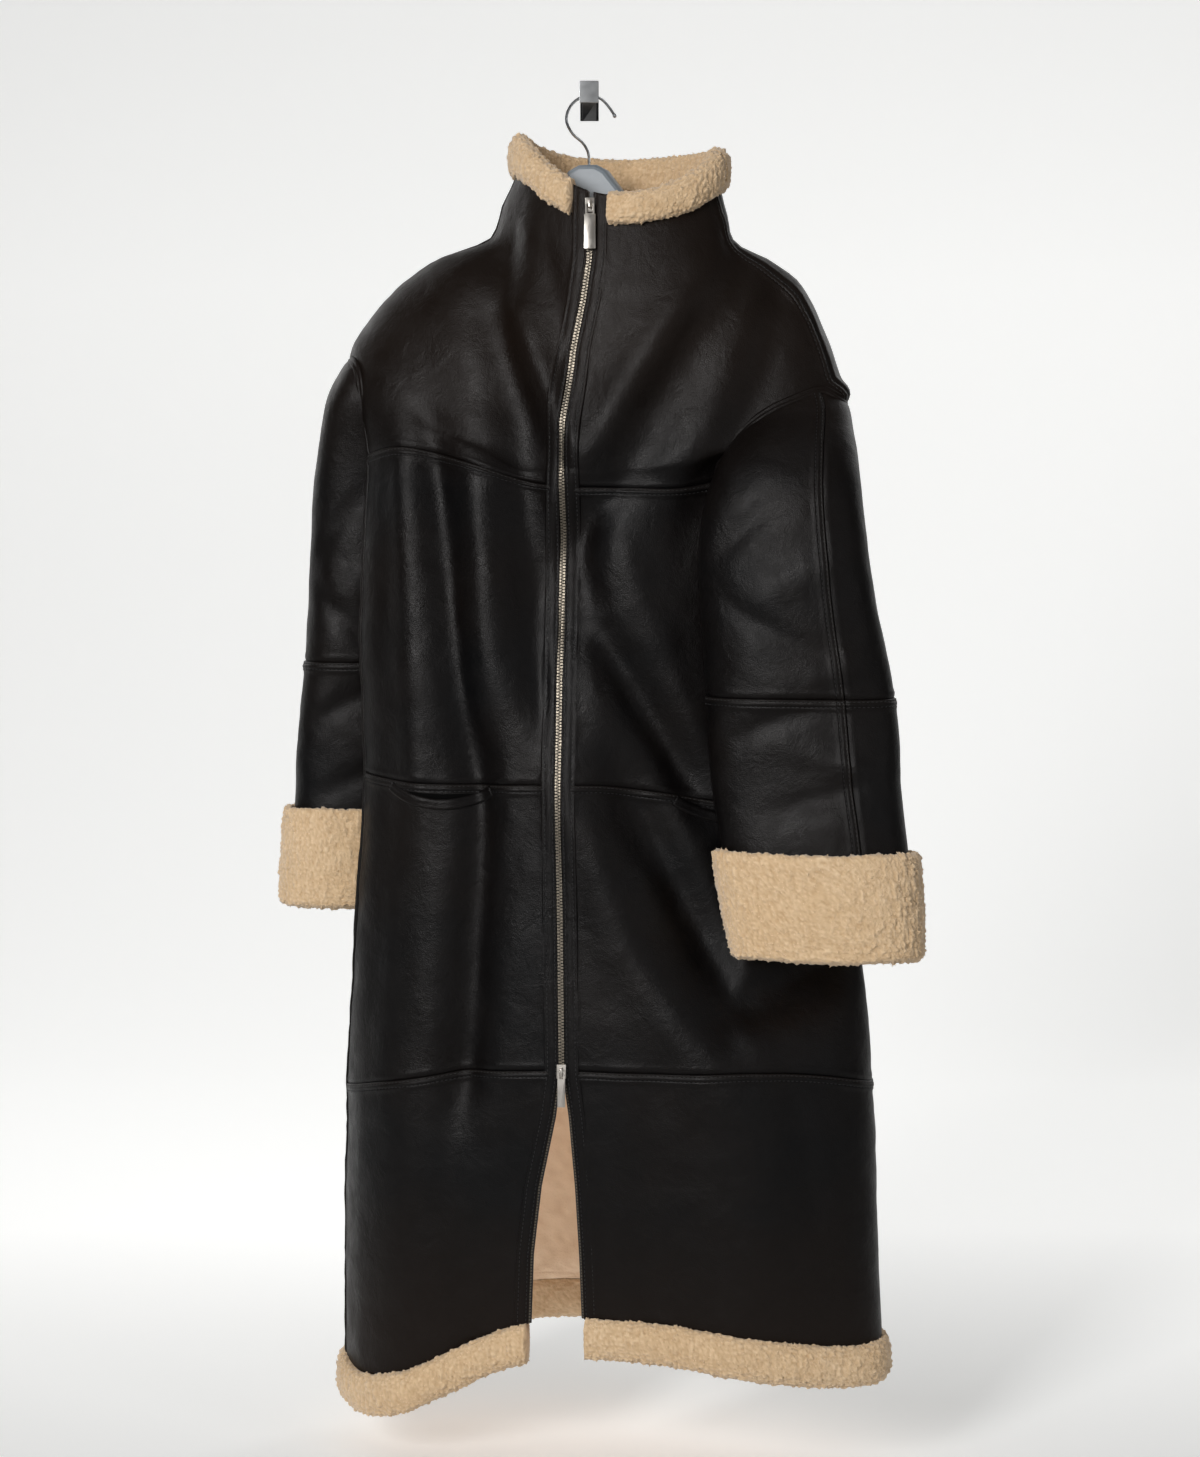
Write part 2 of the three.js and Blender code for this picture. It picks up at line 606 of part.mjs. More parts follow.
// Leather bands along the zip, from the collar to the hem
const BAND_ROWS = [BAND_TOP, BAND_TOP / 2, ...ALL_ROWS];
for (const side of [-1, 1]) {
  const band = bodyWall(COLUMNS.band(side), BAND_ROWS, { sides: true }, BAND_PROUD);
  add(`zip_band_${WEARER[side]}`, band, LEATHER);
}

// Teeth: one closed chain down to the bottom slider, then a row on each open edge
function teethStrip(rows, fromX, toX) {
  const columnsAt = (t) => [angleAtLine(t, fromX), angleAtLine(t, toX)];
  const outer = gridOf(bodySurface, columnsAt, rows, TEETH_PROUD, {});
  const inner = gridOf(bodySurface, columnsAt, rows, TEETH_PROUD - TEETH_DEPTH, {});
  return wallSolid(outer, inner, false);
}
const CLOSED_ROWS = [TEETH_TOP, ...ALL_ROWS.filter((t) => t < LOW_SEAM + 0.01)];
const OPEN_ROWS = [LOW_SEAM + 0.14, ...ALL_ROWS.filter((t) => t > LOW_SEAM + 0.15)];
const innerEdge = (side) => (z) => zipX(side)(z) - side * SEAM_GAP;
add("zip_teeth_closed", teethStrip(CLOSED_ROWS, innerEdge(-1), innerEdge(1)), ZIP_METAL);
const toothEdge = (side) => (z) => innerEdge(side)(z) - side * OPEN_TEETH;
add("zip_teeth_open_right", teethStrip(OPEN_ROWS, innerEdge(-1), toothEdge(-1)), ZIP_METAL);
add("zip_teeth_open_left", teethStrip(OPEN_ROWS, toothEdge(1), innerEdge(1)), ZIP_METAL);

// Solid of a box, by its size and its middle
function box(width, depth, height, x, y, z) {
  return solidOf(new THREE.BoxGeometry(width, depth, height).translate(x, y, z));
}

// Mesh of a solid made about its own origin, in the group that places it
function addTo(group, name, solid, finish) {
  add(name, solid, finish);
  group.add(coat.children[coat.children.length - 1]);
}

// Slider with its bail, and the pull hung in the bail. Local +Z runs up the zip and -Y out of the coat.
function zipEnd(name, t, pull, lift) {
  const middle = (z) => (atHeight(ZIP_LINE, "left", z) + atHeight(ZIP_LINE, "right", z)) / 2;
  const at = bodySurface(angleAtLine(t, middle), t, TEETH_PROUD + lift);
  const reach = (pull.ring + pull.tab) / 40;
  const lower = bodySurface(angleAtLine(t + reach, middle), t + reach, TEETH_PROUD + lift);
  const group = new THREE.Group();
  group.position.copy(at);
  group.rotation.x = Math.min(Math.atan2(lower.y - at.y, at.z - lower.z), 0);
  coat.add(group);
  const base = SEAM_GAP + SLIDER_THICK / 2;
  const plate = box(SLIDER_WIDTH, SLIDER_THICK, SLIDER_LENGTH, 0, -base, 0);
  const bailMiddle = SINK - (SEAM_GAP + SLIDER_THICK + BAIL.rise / 2);
  const bail = box(BAIL.width, BAIL.rise, BAIL.length, 0, bailMiddle, 0);
  const pivotY = bailMiddle + SINK;
  const windowLength = BAIL.length - 2 * BAIL.legs;
  const window = box(2 * BAIL.width, BAIL.rise - BAIL.bar, windowLength, 0, pivotY, 0);
  addTo(group, `slider_${name}`, plate.add(bail.subtract(window)), ZIP_METAL);
  const outer = box(pull.ringWidth, 2 * PULL_BAR, pull.ring, 0, pivotY, PULL_BAR - pull.ring / 2);
  const innerWidth = pull.ringWidth - 4 * PULL_BAR;
  const hole = box(innerWidth, 4 * PULL_BAR, pull.ring - 4 * PULL_BAR, 0, pivotY, PULL_BAR - pull.ring / 2);
  const tab = box(pull.tabWidth, pull.thick, pull.tab, 0, pivotY, 2 * PULL_BAR - pull.ring - pull.tab / 2);
  addTo(group, `pull_${name}`, outer.subtract(hole).add(tab), ZIP_METAL);
}
zipEnd("top", -0.35, TOP_PULL, TOP_LIFT);
zipEnd("bottom", LOW_SEAM, BOTTOM_PULL, BOTTOM_LIFT);

// Welt along each pocket's mouth, sagging under the hip seam and lying on the panel
for (const pocket of POCKETS) {
  const grid = (offset) =>
    [0, 0.5, 1].map((down) =>
      spread(0, 1, WELT_COLUMNS).map((share) => {
        const t = HIP_SEAM + 0.02 + pocket.sag * Math.sin(Math.PI * share) ** 0.8 + WELT_HEIGHT * down;
        const x = THREE.MathUtils.lerp(pocket.from, pocket.to, share);
        return bodySurface(angleAtLine(t, () => x), t, offset);
      }),
    );
  const welt = wallSolid(grid(WELT_THICK), grid(-1), false);
  add(`pocket_welt_${pocket.wearer}`, largest(welt.subtract(bodyOuter)), LEATHER);
}

// Rounded roll of wool along an edge of the body, seen in section: out from the wall and up or down
function rollRing(angle, t, height, upwards) {
  const edge = bodySurface(angle, t, 0);
  const inner = bodySurface(angle, t, -WALL);
  const out = edge.clone().sub(inner).setZ(0).normalize();
  const middle = edge.clone().add(inner).divideScalar(2);
  const lift = upwards ? 1 : -1;
  const start = -lift * ROLL_OVERLAP;
  return Array.from({ length: ROLL_SIDES }, (_, i) => {
    const a = (2 * Math.PI * i) / ROLL_SIDES;
    const reach = Math.cos(a) > 0 ? ROLL_OUT + WALL / 2 : ROLL_IN;
    const p = middle.clone().addScaledVector(out, reach * squared(Math.cos(a), ROLL_SQUARE));
    p.z += start + (lift * height * (1 + squared(Math.sin(a), ROLL_SQUARE))) / 2;
    return p;
  });
}
const hemRing = (angle) => rollRing(angle, HEM_EDGE, HEM_ROLL_HEIGHT, false);
const collarRing = (angle) => {
  const facing = Math.max(Math.cos(angle), 0) ** 2;
  const height = THREE.MathUtils.lerp(COLLAR_ROLL_HEIGHT, COLLAR_ROLL_AT_ZIP, facing);
  return rollRing(angle, TOP_EDGE, height, true);
};
function insetEnds(angles) {
  const step = 0.0016;
  return angles.map((a, i) => (i === 0 ? a + step : i === angles.length - 1 ? a - step : a));
}
function hemAngles(side) {
  const edge = (z) => atHeight(ZIP_LINE, side > 0 ? "right" : "left", z) + side * (TEETH_HALF + 1);
  return across(side, angleAtLine(HEM_EDGE, edge), sideAngle(HEM_EDGE, side), FRONT_COLUMNS);
}
// A roll lies against the cloth's edge, cut back from it by the seam gap
const hemCutter = edgeCutter(ROWS.hem.slice(-2), -SEAM_GAP);
const zipGap = 2 * (TEETH_HALF + SEAM_GAP + BAND_WIDTH) + 1;
const zipSlot = box(zipGap, 200, 200, ZIP_LINE[0].left, HANGER_Y - 50, ZIP_LINE[0].z);
const collarCutter = edgeCutter(ROWS.yoke.slice(0, 2), SEAM_GAP).add(zipSlot);
const roll = (angles, ring, cutter) => largest(loftSolid(insetEnds(angles).map(ring)).subtract(cutter));
for (const side of [-1, 1]) {
  add(`hem_roll_${WEARER[side]}`, roll(hemAngles(side), hemRing, hemCutter), WOOL);
  add(`collar_roll_${WEARER[side]}`, roll(COLUMNS.front(side)(TOP_EDGE), collarRing, collarCutter), WOOL);
}
add("hem_roll_back", roll(COLUMNS.back()(HEM_EDGE), hemRing, hemCutter), WOOL);
add("collar_roll_back", roll(COLUMNS.back()(TOP_EDGE), collarRing, collarCutter), WOOL);

// Wall hook: a plate on the wall, an arm and an upturned lip in front
const armLength = ARM_REACH - PLATE_THICK;
const plate = box(HOOK_WIDTH, PLATE_THICK, PLATE_HEIGHT, 0, -PLATE_THICK / 2, LIP_TOP - PLATE_HEIGHT / 2);
const armMiddle = -PLATE_THICK / 2 - armLength / 2;
const arm = box(ARM_WIDTH, armLength + PLATE_THICK, ARM_THICK, 0, armMiddle, ARM_TOP - ARM_THICK / 2);
add("wall_hook", plate.add(arm), HOOK_BLACK);
const lipHeight = LIP_TOP - ARM_TOP + ARM_THICK;
const lipY = -ARM_REACH - SEAM_GAP - LIP_THICK / 2;
add("wall_hook_lip", box(HOOK_WIDTH, LIP_THICK, lipHeight, 0, lipY, LIP_TOP - lipHeight / 2), STEEL);

// Hanger: a wire hook over the arm and a body that fills the shoulders from inside
const hanger = new THREE.Group();
hanger.position.y = HANGER_Y;
hanger.rotation.z = HANGER_TURN;
coat.add(hanger);
const wire = new THREE.CatmullRomCurve3(WIRE_PATH.map(([x, z]) => new THREE.Vector3(x, 0, z)));
const round = new THREE.Shape().absarc(0, 0, WIRE_RADIUS, 0, 2 * Math.PI);
const wireSweep = { extrudePath: wire, steps: WIRE_STEPS, curveSegments: 3 };
const wireBody = new THREE.ExtrudeGeometry(round, wireSweep);
const [tipX, tipZ] = WIRE_PATH[0];
const wireTip = new THREE.SphereGeometry(WIRE_TIP_RADIUS, 8, 6).translate(tipX, 0, tipZ);
addTo(hanger, "hanger_wire", solidOf(wireBody).add(solidOf(wireTip)), STEEL);
const half = HANGER_EDGE.map(([x, z]) => new THREE.Vector2(x, z));
const mirrored = HANGER_EDGE.slice(1, -1).reverse().map(([x, z]) => new THREE.Vector2(-x, z));
const outline = new THREE.Shape([...half, ...mirrored]);
const flatThick = HANGER_THICK - 2 * HANGER_BEVEL.bevelThickness;
const slab = new THREE.ExtrudeGeometry(outline, { depth: flatThick, ...HANGER_BEVEL });
slab.translate(0, 0, -flatThick / 2).rotateX(Math.PI / 2);
const placed = slab.rotateZ(HANGER_TURN).translate(0, HANGER_Y, 0);
add("hanger_body", largest(solidOf(placed).intersect(bodyInnerWithNeck())), HANGER_GREY);

// The space inside the coat that the hanger fills, open upwards at the neck
function bodyInnerWithNeck() {
  const neck = box(150, 120, 120, 20, HANGER_Y, -70);
  return bodyInner.add(neck);
}

export default coat;
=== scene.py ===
# Shearling coat on a hanger and wall hook: the looks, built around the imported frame.
import math

import bpy
import numpy as np
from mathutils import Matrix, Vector
from mathutils.bvhtree import BVHTree


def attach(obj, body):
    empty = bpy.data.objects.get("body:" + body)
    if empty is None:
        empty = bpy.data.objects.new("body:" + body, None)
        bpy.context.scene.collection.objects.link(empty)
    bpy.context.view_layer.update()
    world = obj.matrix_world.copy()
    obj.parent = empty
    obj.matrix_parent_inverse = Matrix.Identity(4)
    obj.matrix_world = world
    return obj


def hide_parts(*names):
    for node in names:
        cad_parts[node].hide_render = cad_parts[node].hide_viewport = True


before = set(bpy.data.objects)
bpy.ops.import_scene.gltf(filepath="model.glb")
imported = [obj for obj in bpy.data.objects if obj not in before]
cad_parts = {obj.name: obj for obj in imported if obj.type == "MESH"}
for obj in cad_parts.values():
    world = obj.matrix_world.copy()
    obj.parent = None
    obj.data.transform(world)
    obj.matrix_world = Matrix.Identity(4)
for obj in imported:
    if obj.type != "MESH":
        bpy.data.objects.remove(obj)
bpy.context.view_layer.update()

MM = 0.001
RNG = np.random.default_rng(11)

# Cloth, in millimetres
WALL = 8.0
SEAM_GAP = 0.3
GRID = 5.5
LAP_LINES = [0.0, 0.6, 1.2, 1.8, 2.4, 3.2, 4.6, 6.0, 6.8, 7.4, 8.0, 8.8, 10.6, 14.0]
BAND_WIDTH = 14.0
TEETH_HALF = 2.8
ROLL_OUT = 12.0
ROLL_IN = 10.0
HEM_ROLL_HEIGHT = 42.0
COLLAR_ROLL_HEIGHT = 42.0
COLLAR_ROLL_AT_ZIP = 30.0
CUFF_WOOL = 12.0
CURL = 4.8

# Body sections from the collar's top edge to the hem, as the frame's solids have them
BODY_KEYS = "zf zr zb zl fl fr xl xr yf yr yb yl nfl nbl nbr nfr xm".split()
BODY_ROWS = [
    [-128, -93, -92, -73, 0, -4, -70, 128, -206, -160, -50, -113, 2, 2, 2, 2, 28],
    [-163, -117, -112, -103, 0, 0, -84, 133, -213, -165, -46, -112, 2, 2, 2, 2, 28],
    [-200, -143, -134, -136, 0, 0, -98, 140, -218, -168, -42, -108, 2, 2, 2, 2, 28],
    [-232, -160, -154, -153, 0, 0, -147, 173, -221, -172, -39, -92, 2, 2.1, 2, 2, 24],
    [-260, -180, -175, -171, 0, 0, -179, 202, -222, -176, -36, -84, 2, 2.2, 2.1, 2, 20],
    [-288, -203, -200, -192, 0, 0, -204, 217, -223, -181, -34, -80, 2.1, 2.2, 2.1, 2, 16],
    [-315, -238, -232, -218, 2, 0, -224, 231, -223, -186, -32, -80, 2.1, 2.1, 2, 2, 12],
    [-341, -272, -264, -243, 5, 0, -238, 242, -225, -192, -30, -86, 2.1, 2, 2, 2, 8],
    [-362, -298, -300, -272, 8, -5, -236, 249, -226, -200, -28, -98, 2.1, 1.7, 1.9, 2, 5],
    [-381, -345, -350, -349, 20, -14, -219, 196, -228, -186, -27, -120, 2.2, 1.3, 2, 1.6, 2],
    [-458, -445, -450, -452, 4, -4, -224, 214, -233, -184, -26, -128, 2.2, 1.25, 2, 1.4, 2],
    [-562, -570, -565, -560, 0, 0, -227, 228, -241, -184, -25, -131, 2.2, 1.22, 2, 1.34, 4],
    [-667, -712, -680, -663, -4, 2, -224, 238, -249, -188, -24, -134, 2.2, 1.12, 2, 1.32, 6],
    [-800, -815, -810, -806, 0, 0, -233, 263, -256, -203, -26, -136, 2.2, 1.1, 2, 1.45, 10],
    [-943, -958, -962, -981, 2, 8, -243, 277, -264, -222, -28, -118, 2.3, 2, 2.2, 2, 16],
    [-1075, -1090, -1100, -1124, -14, 2, -246, 281, -255, -226, -33, -112, 2.4, 2.1, 2.2, 2.2, 18],
    [-1193, -1212, -1208, -1262, -32, -8, -248, 287, -243, -228, -40, -110, 2.5, 2.1, 2.2, 2.4, 18],
]
YOKE_SEAM, HIP_SEAM, LOW_SEAM, HEM_EDGE = 9.0, 12.0, 14.0, 16.0
LEVELS = {
    "yoke": (0.0, YOKE_SEAM),
    "mid": (YOKE_SEAM, HIP_SEAM),
    "lower": (HIP_SEAM, LOW_SEAM),
    "hem": (LOW_SEAM, HEM_EDGE),
}

# Line of the zip: height, x of the coat's right front edge, x of its left front edge
ZIP_LINE = np.array([
    [-98, 2, 2], [-163, 1, 1], [-203, -5, -5], [-251, -15, -15], [-317, -23, -23], [-375, -26, -26],
    [-451, -29, -29], [-662, -29, -29], [-944, -26, -26], [-990, -32, -20], [-1060, -46, -14],
    [-1130, -54, -10], [-1240, -58, -6],
], float)

# Folds of the front: depth (a ridge is over 0), width and the x, z points of its line
FOLDS = [
    (11, 24, [[136, -152], [52, -268], [5, -344]]),
    (-11, 26, [[130, -186], [52, -336], [-8, -422]]),
    (-8, 22, [[182, -205], [164, -285], [121, -374]]),
    (-12, 22, [[-92, -170], [-92, -216], [-68, -318], [-47, -417], [-30, -502]]),
    (8, 20, [[-73, -225], [-30, -310]]),
    (-10, 20, [[-150, -365], [-124, -621]]),
    (-9, 20, [[-68, -438], [-51, -566]]),
    (6, 20, [[-178, -390], [-168, -640]]),
    (7, 20, [[-106, -410], [-92, -640]]),
    (-14, 24, [[-8, -430], [-2, -511], [39, -566], [79, -630]]),
    (-15, 26, [[-103, -667], [-112, -790], [-120, -922]]),
    (8, 26, [[-4, -720], [40, -830], [90, -905]]),
    (-14, 26, [[50, -700], [95, -800], [140, -880], [196, -860]]),
    (-16, 70, [[190, -775]]),
    (20, 62, [[-178, -1060], [-182, -1250]]),
    (10, 60, [[150, -1080], [150, -1220]]),
]
# Smaller creases, only in the cloth seen, and the main troughs' deeper floors
CREASES = [
    (2.4, 13, [[118, -215], [70, -300], [20, -372]]),
    (-2.4, 12, [[96, -240], [40, -330]]),
    (-2.2, 10, [[-78, -150], [-86, -205], [-60, -300]]),
    (1.6, 12, [[-48, -250], [-20, -330]]),
    (-2.0, 11, [[-36, -175], [-22, -262], [-28, -330]]),
    (-4.5, 15, [[-156, -372], [-140, -470], [-126, -610]]),
    (-4.0, 15, [[-62, -420], [-52, -500], [-48, -570]]),
    (-1.6, 12, [[-196, -380], [-200, -520]]),
    (-5.0, 17, [[2, -480], [36, -566], [84, -650]]),
    (2.2, 13, [[50, -480], [74, -545], [98, -610]]),
    (-2.0, 11, [[-150, -668], [-146, -720]]),
    (-5.0, 18, [[-110, -690], [-116, -800], [-124, -930]]),
    (-1.8, 12, [[-60, -690], [-76, -760]]),
    (-3.2, 18, [[70, -722], [104, -790], [124, -826]]),
    (2.2, 14, [[70, -782], [112, -852], [150, -905]]),
    (-2.0, 13, [[-200, -700], [-206, -820], [-214, -930]]),
    (-2.0, 14, [[60, -960], [52, -1040]]),
    (-2.4, 15, [[-130, -985], [-142, -1090], [-120, -1200]]),
    (-2.0, 14, [[196, -965], [214, -1060]]),
    (1.8, 15, [[30, -1090], [36, -1190]]),
]
BACK_FOLDS = [
    (-14, 50, [[-178, -725], [-178, -790]]),
    (-9, 34, [[10, -420], [0, -900]]),
    (4, 34, [[-110, -980], [-120, -1200]]),
    (-9, 30, [[120, -560], [140, -1190]]),
]
BACK_CREASES = [
    (-3, 12, [[-60, -160], [-90, -260], [-150, -330]]),
    (-3, 12, [[90, -165], [130, -260], [190, -330]]),
    (-3, 13, [[-60, -420], [-40, -640]]),
    (3, 13, [[60, -430], [70, -620]]),
    (-3, 14, [[-40, -960], [-60, -1190]]),
    (3, 14, [[70, -980], [80, -1180]]),
    (-2.5, 12, [[190, -700], [210, -1000]]),
]

# Sleeves: height, left and right edges, front, back and skew of each section
SLEEVE_KEYS = "z xl xr yf yb skew".split()
SLEEVE_ROWS = {
    "left": [
        [-262, 160, 238, -226, -150, -0.1], [-300, 157, 250.5, -240, -160, -0.1],
        [-345, 130, 256, -276, -182, -0.12], [-395, 111, 261, -298, -206, -0.14],
        [-480, 105, 272, -308, -217, -0.16], [-580, 109, 289, -314, -222, -0.16],
        [-660, 116, 296, -319, -230, -0.16], [-722, 126, 303, -326, -246, -0.14],
        [-824, 146, 308, -330, -256, -0.12],
    ],
    "right": [
        [-228, -230, -175, -112, -45, 0], [-256, -247, -172, -122, -34, 0],
        [-292, -266, -171, -128, -24, 0], [-353, -277, -170, -116, -16, 0.04],
        [-455, -285, -168, -109, -14, 0.06], [-557, -293, -166, -108, -14, 0.06],
        [-640, -298, -167, -108, -14, 0.06], [-702, -303, -178, -104, -18, 0.06],
        [-804, -309, -184, -104, -18, 0.06],
    ],
}
ELBOW_SEAM, CUFF_START, SLEEVE_END = 5.0, 7.0, 8.0
FRONT_FROM = {"left": 0.42 - math.pi, "right": -2.1}
WEARER = {1: "left", -1: "right"}
# The sleeve's top dips into the yoke, so the two meet low on the shoulder
CAP_SINK = 24.0
CAP_END = 1.15


def unit(vectors):
    return vectors / np.maximum(np.linalg.norm(vectors, axis=-1, keepdims=True), 1e-9)


def run_along(line):
    """Length of a line from its start to each of its points."""
    return np.concatenate([[0], np.cumsum(np.linalg.norm(np.diff(line, axis=0), axis=1))])


def picked(values, places, run):
    """Rows of values at other places along the same line."""
    return np.stack([np.interp(places, run, values[:, k]) for k in range(3)], -1)


def columns_of(rows, keys):
    return {key: np.array([row[i] for row in rows], float) for i, key in enumerate(keys)}


def between(table, key, t):
    """Value of a column between its rows, on a smooth curve through them."""
    values = table[key]
    last = len(values) - 1
    t = np.asarray(t, float)
    i = np.clip(np.floor(np.maximum(t, 0)), 0, last - 1).astype(int)
    s = np.clip(t, 0, last) - i
    p0 = values[np.maximum(i - 1, 0)]
    p1 = values[i]
    p2 = values[i + 1]
    p3 = values[np.minimum(i + 2, last)]
    m1 = (p2 - p0) / 2
    m2 = (p3 - p1) / 2
    s2 = s * s
    s3 = s2 * s
    smooth = (2 * s3 - 3 * s2 + 1) * p1 + (s3 - 2 * s2 + s) * m1
    smooth = smooth + (3 * s2 - 2 * s3) * p2 + (s3 - s2) * m2
    return np.where(t < 0, values[0] + t * (values[1] - values[0]), smooth)


BODY = columns_of(BODY_ROWS, BODY_KEYS)


def body_point(angle, t):
    """Point of the body's smooth surface, angle 0 in front and growing to the viewer's right."""
    get = lambda key: between(BODY, key, t)
    sin = np.sin(angle)
    cos = np.cos(angle)
    right = sin > 0
    front = cos > 0
    front_square = np.where(right, get("nfr"), get("nfl"))
    back_square = np.where(right, get("nbr"), get("nbl"))
    power = 2 / np.where(front, front_square, back_square)
    across = np.abs(sin) ** power
    along = np.abs(cos) ** power
    middle = get("xm")
    xl = get("xl")
    xr = get("xr")
    yl = get("yl")
    yr = get("yr")
    x = np.where(right, middle + (xr - middle) * across, middle - (middle - xl) * across)
    side_y = yl + (yr - yl) * (x - xl) / (xr - xl)
    middle_y = yl + (yr - yl) * (middle - xl) / (xr - xl)
    y = side_y + (np.where(front, get("yf"), get("yb")) - middle_y) * along
    diagonal = np.where(front, np.where(right, get("fr"), get("fl")) * np.sin(2 * angle) ** 2, 0)
    middle_z = np.where(front, get("zf"), get("zb"))
    side_z = np.where(right, get("zr"), get("zl"))
    z = cos**2 * middle_z + sin**2 * side_z + diagonal
    return np.stack([x, y, z], -1)


# How much slower a fold dies out past its ends than to its sides
TAPER = 3.2


def path_distance(x, z, path):
    """Distance to a path of x, z points, counted less past its two ends."""
    if len(path) == 1:
        return np.hypot(x - path[0][0], z - path[0][1])
    least = np.full(np.shape(x), np.inf)
    last = len(path) - 2
    for i, ((ax, az), (bx, bz)) in enumerate(zip(path, path[1:])):
        length = math.hypot(bx - ax, bz - az)
        dx, dz = (bx - ax) / length, (bz - az) / length
        run = (x - ax) * dx + (z - az) * dz
        over = np.maximum(-run, run - length).clip(0)
        beyond = ((run < 0) & (i == 0)) | ((run > length) & (i == last))
        off = np.abs((x - ax) * dz - (z - az) * dx)
        least = np.minimum(least, np.hypot(off, np.where(beyond, over / TAPER, over)))
    return least


def fold_depth(points, angle, fine):
    """Sum of the folds at points of the body, and of the small creases where fine is set."""
    facing = np.cos(angle)
    total = np.zeros(np.shape(angle))
    x, z = points[..., 0], points[..., 2]
    front = FOLDS + (CREASES if fine else [])
    back = BACK_FOLDS + (BACK_CREASES if fine else [])
    for side, folds in ((1, front), (-1, back)):
        fade = np.clip(facing * side * 2.2, 0, 1)
        for depth, width, path in folds:
            total += fade * depth * np.exp(-((path_distance(x, z, path) / width) ** 2))
    return total


def normal_of(surface, angle, t):
    du = surface(angle + 0.02, t) - surface(angle - 0.02, t)
    dv = surface(angle, t + 0.05) - surface(angle, t - 0.05)
    return unit(np.cross(dv, du))


def body_surface(angle, t, offset=0.0, fine=True):
    points = body_point(angle, t)
    out = fold_depth(points, angle, fine) + offset
    return points + normal_of(body_point, angle, t) * np.asarray(out)[..., None]


def sleeve_surface(side):
    table = columns_of(SLEEVE_ROWS[side], SLEEVE_KEYS)

    def point(angle, t):
        get = lambda key: between(table, key, t)
        half_x = (get("xr") - get("xl")) / 2
        half_y = (get("yb") - get("yf")) / 2
        across = np.sign(np.sin(angle)) * np.abs(np.sin(angle)) ** 0.88
        along = np.sign(np.cos(angle)) * np.abs(np.cos(angle)) ** 0.88
        x = (get("xl") + get("xr")) / 2 + half_x * across
        y = (get("yf") + get("yb")) / 2 - half_y * along * 0.94 + get("skew") * half_x * across
        return np.stack([x, y, get("z") + 0 * x], -1)

    def surface(angle, t, offset=0.0, fine=True):
        elbow = np.exp(-(((t - ELBOW_SEAM) / 1.6) ** 2))
        rumple = 2.2 * elbow * np.sin(3 * angle + 1.9 * t) - 1.2
        rumple = rumple - CAP_SINK * np.clip(1 - np.asarray(t) / CAP_END, 0, 1) ** 1.6
        p = point(angle, t)
        if fine:
            rumple = rumple + sleeve_creases(p, angle)
        return p + normal_of(point, angle, t) * np.asarray(rumple + offset)[..., None]

    return surface


# Creases of both sleeves by height and angle: depth, half height, half turn, height, angle, slant
SLEEVE_CREASES = [
    (-4.0, 16, 0.55, -420, -0.5, 60),
    (3.0, 18, 0.5, -468, 0.1, 40),
    (-3.6, 13, 0.6, -512, -0.3, -50),
    (3.0, 14, 0.5, -548, 0.5, 30),
    (-4.2, 12, 0.7, -606, -0.4, 36),
    (2.8, 12, 0.6, -640, 0.3, -30),
    (-3.4, 12, 0.6, -676, 0.0, 30),
    (-3.0, 14, 0.6, -470, 2.6, 40),
    (-3.2, 12, 0.7, -600, 3.2, -40),
    (2.6, 14, 0.6, -650, 2.4, 30),
]


def sleeve_creases(p, angle):
    total = np.zeros(np.shape(angle))
    for depth, tall, wide, height, middle, slant in SLEEVE_CREASES:
        turn = (angle - middle + math.pi) % (2 * math.pi) - math.pi
        level = p[..., 2] - height - slant * turn
        total += depth * np.exp(-((level / tall) ** 2) - (turn / wide) ** 2)
    return total


def hashed(ix, iy, iz, salt):
    h = (ix * 374761393 + iy * 668265263 + iz * 2147483647 + salt * 1274126177) & 0xFFFFFFFF
    h = ((h ^ (h >> 13)) * 1274126177) & 0xFFFFFFFF
    return ((h ^ (h >> 16)) & 0xFFFF) / 65535.0


def value_noise(points, scale, salt=0):
    """Smooth noise from -1 to 1, with features of about the given size in millimetres."""
    q = points / scale
    base = np.floor(q).astype(np.int64)
    f = q - base
    f = f * f * (3 - 2 * f)
    total = 0
    for dx in (0, 1):
        for dy in (0, 1):
            for dz in (0, 1):
                w = np.where(dx, f[..., 0], 1 - f[..., 0]) * np.where(dy, f[..., 1], 1 - f[..., 1])
                w = w * np.where(dz, f[..., 2], 1 - f[..., 2])
                total = total + w * hashed(base[..., 0] + dx, base[..., 1] + dy, base[..., 2] + dz, salt)
    return total * 2 - 1


def curls(points, cell, salt=0):
    """Height of round curls from 0 (crease) to 1 (crown), and a random number for each curl."""
    q = points / cell
    base = np.floor(q).astype(np.int64)
    nearest = np.full(points.shape[:-1], 9.0)
    second = np.full(points.shape[:-1], 9.0)
    which = np.zeros(points.shape[:-1])
    for dx in (-1, 0, 1):
        for dy in (-1, 0, 1):
            for dz in (-1, 0, 1):
                cx, cy, cz = base[..., 0] + dx, base[..., 1] + dy, base[..., 2] + dz
                px = cx + 0.15 + 0.7 * hashed(cx, cy, cz, salt)
                py = cy + 0.15 + 0.7 * hashed(cx, cy, cz, salt + 1)
                pz = cz + 0.15 + 0.7 * hashed(cx, cy, cz, salt + 2)
                d = np.sqrt((q[..., 0] - px) ** 2 + (q[..., 1] - py) ** 2 + (q[..., 2] - pz) ** 2)
                closer = d < nearest
                second = np.where(closer, nearest, np.minimum(second, d))
                which = np.where(closer, hashed(cx, cy, cz, salt + 3), which)
                nearest = np.where(closer, d, nearest)
    return np.sqrt(np.clip((second - nearest) / 0.75, 0, 1)), which


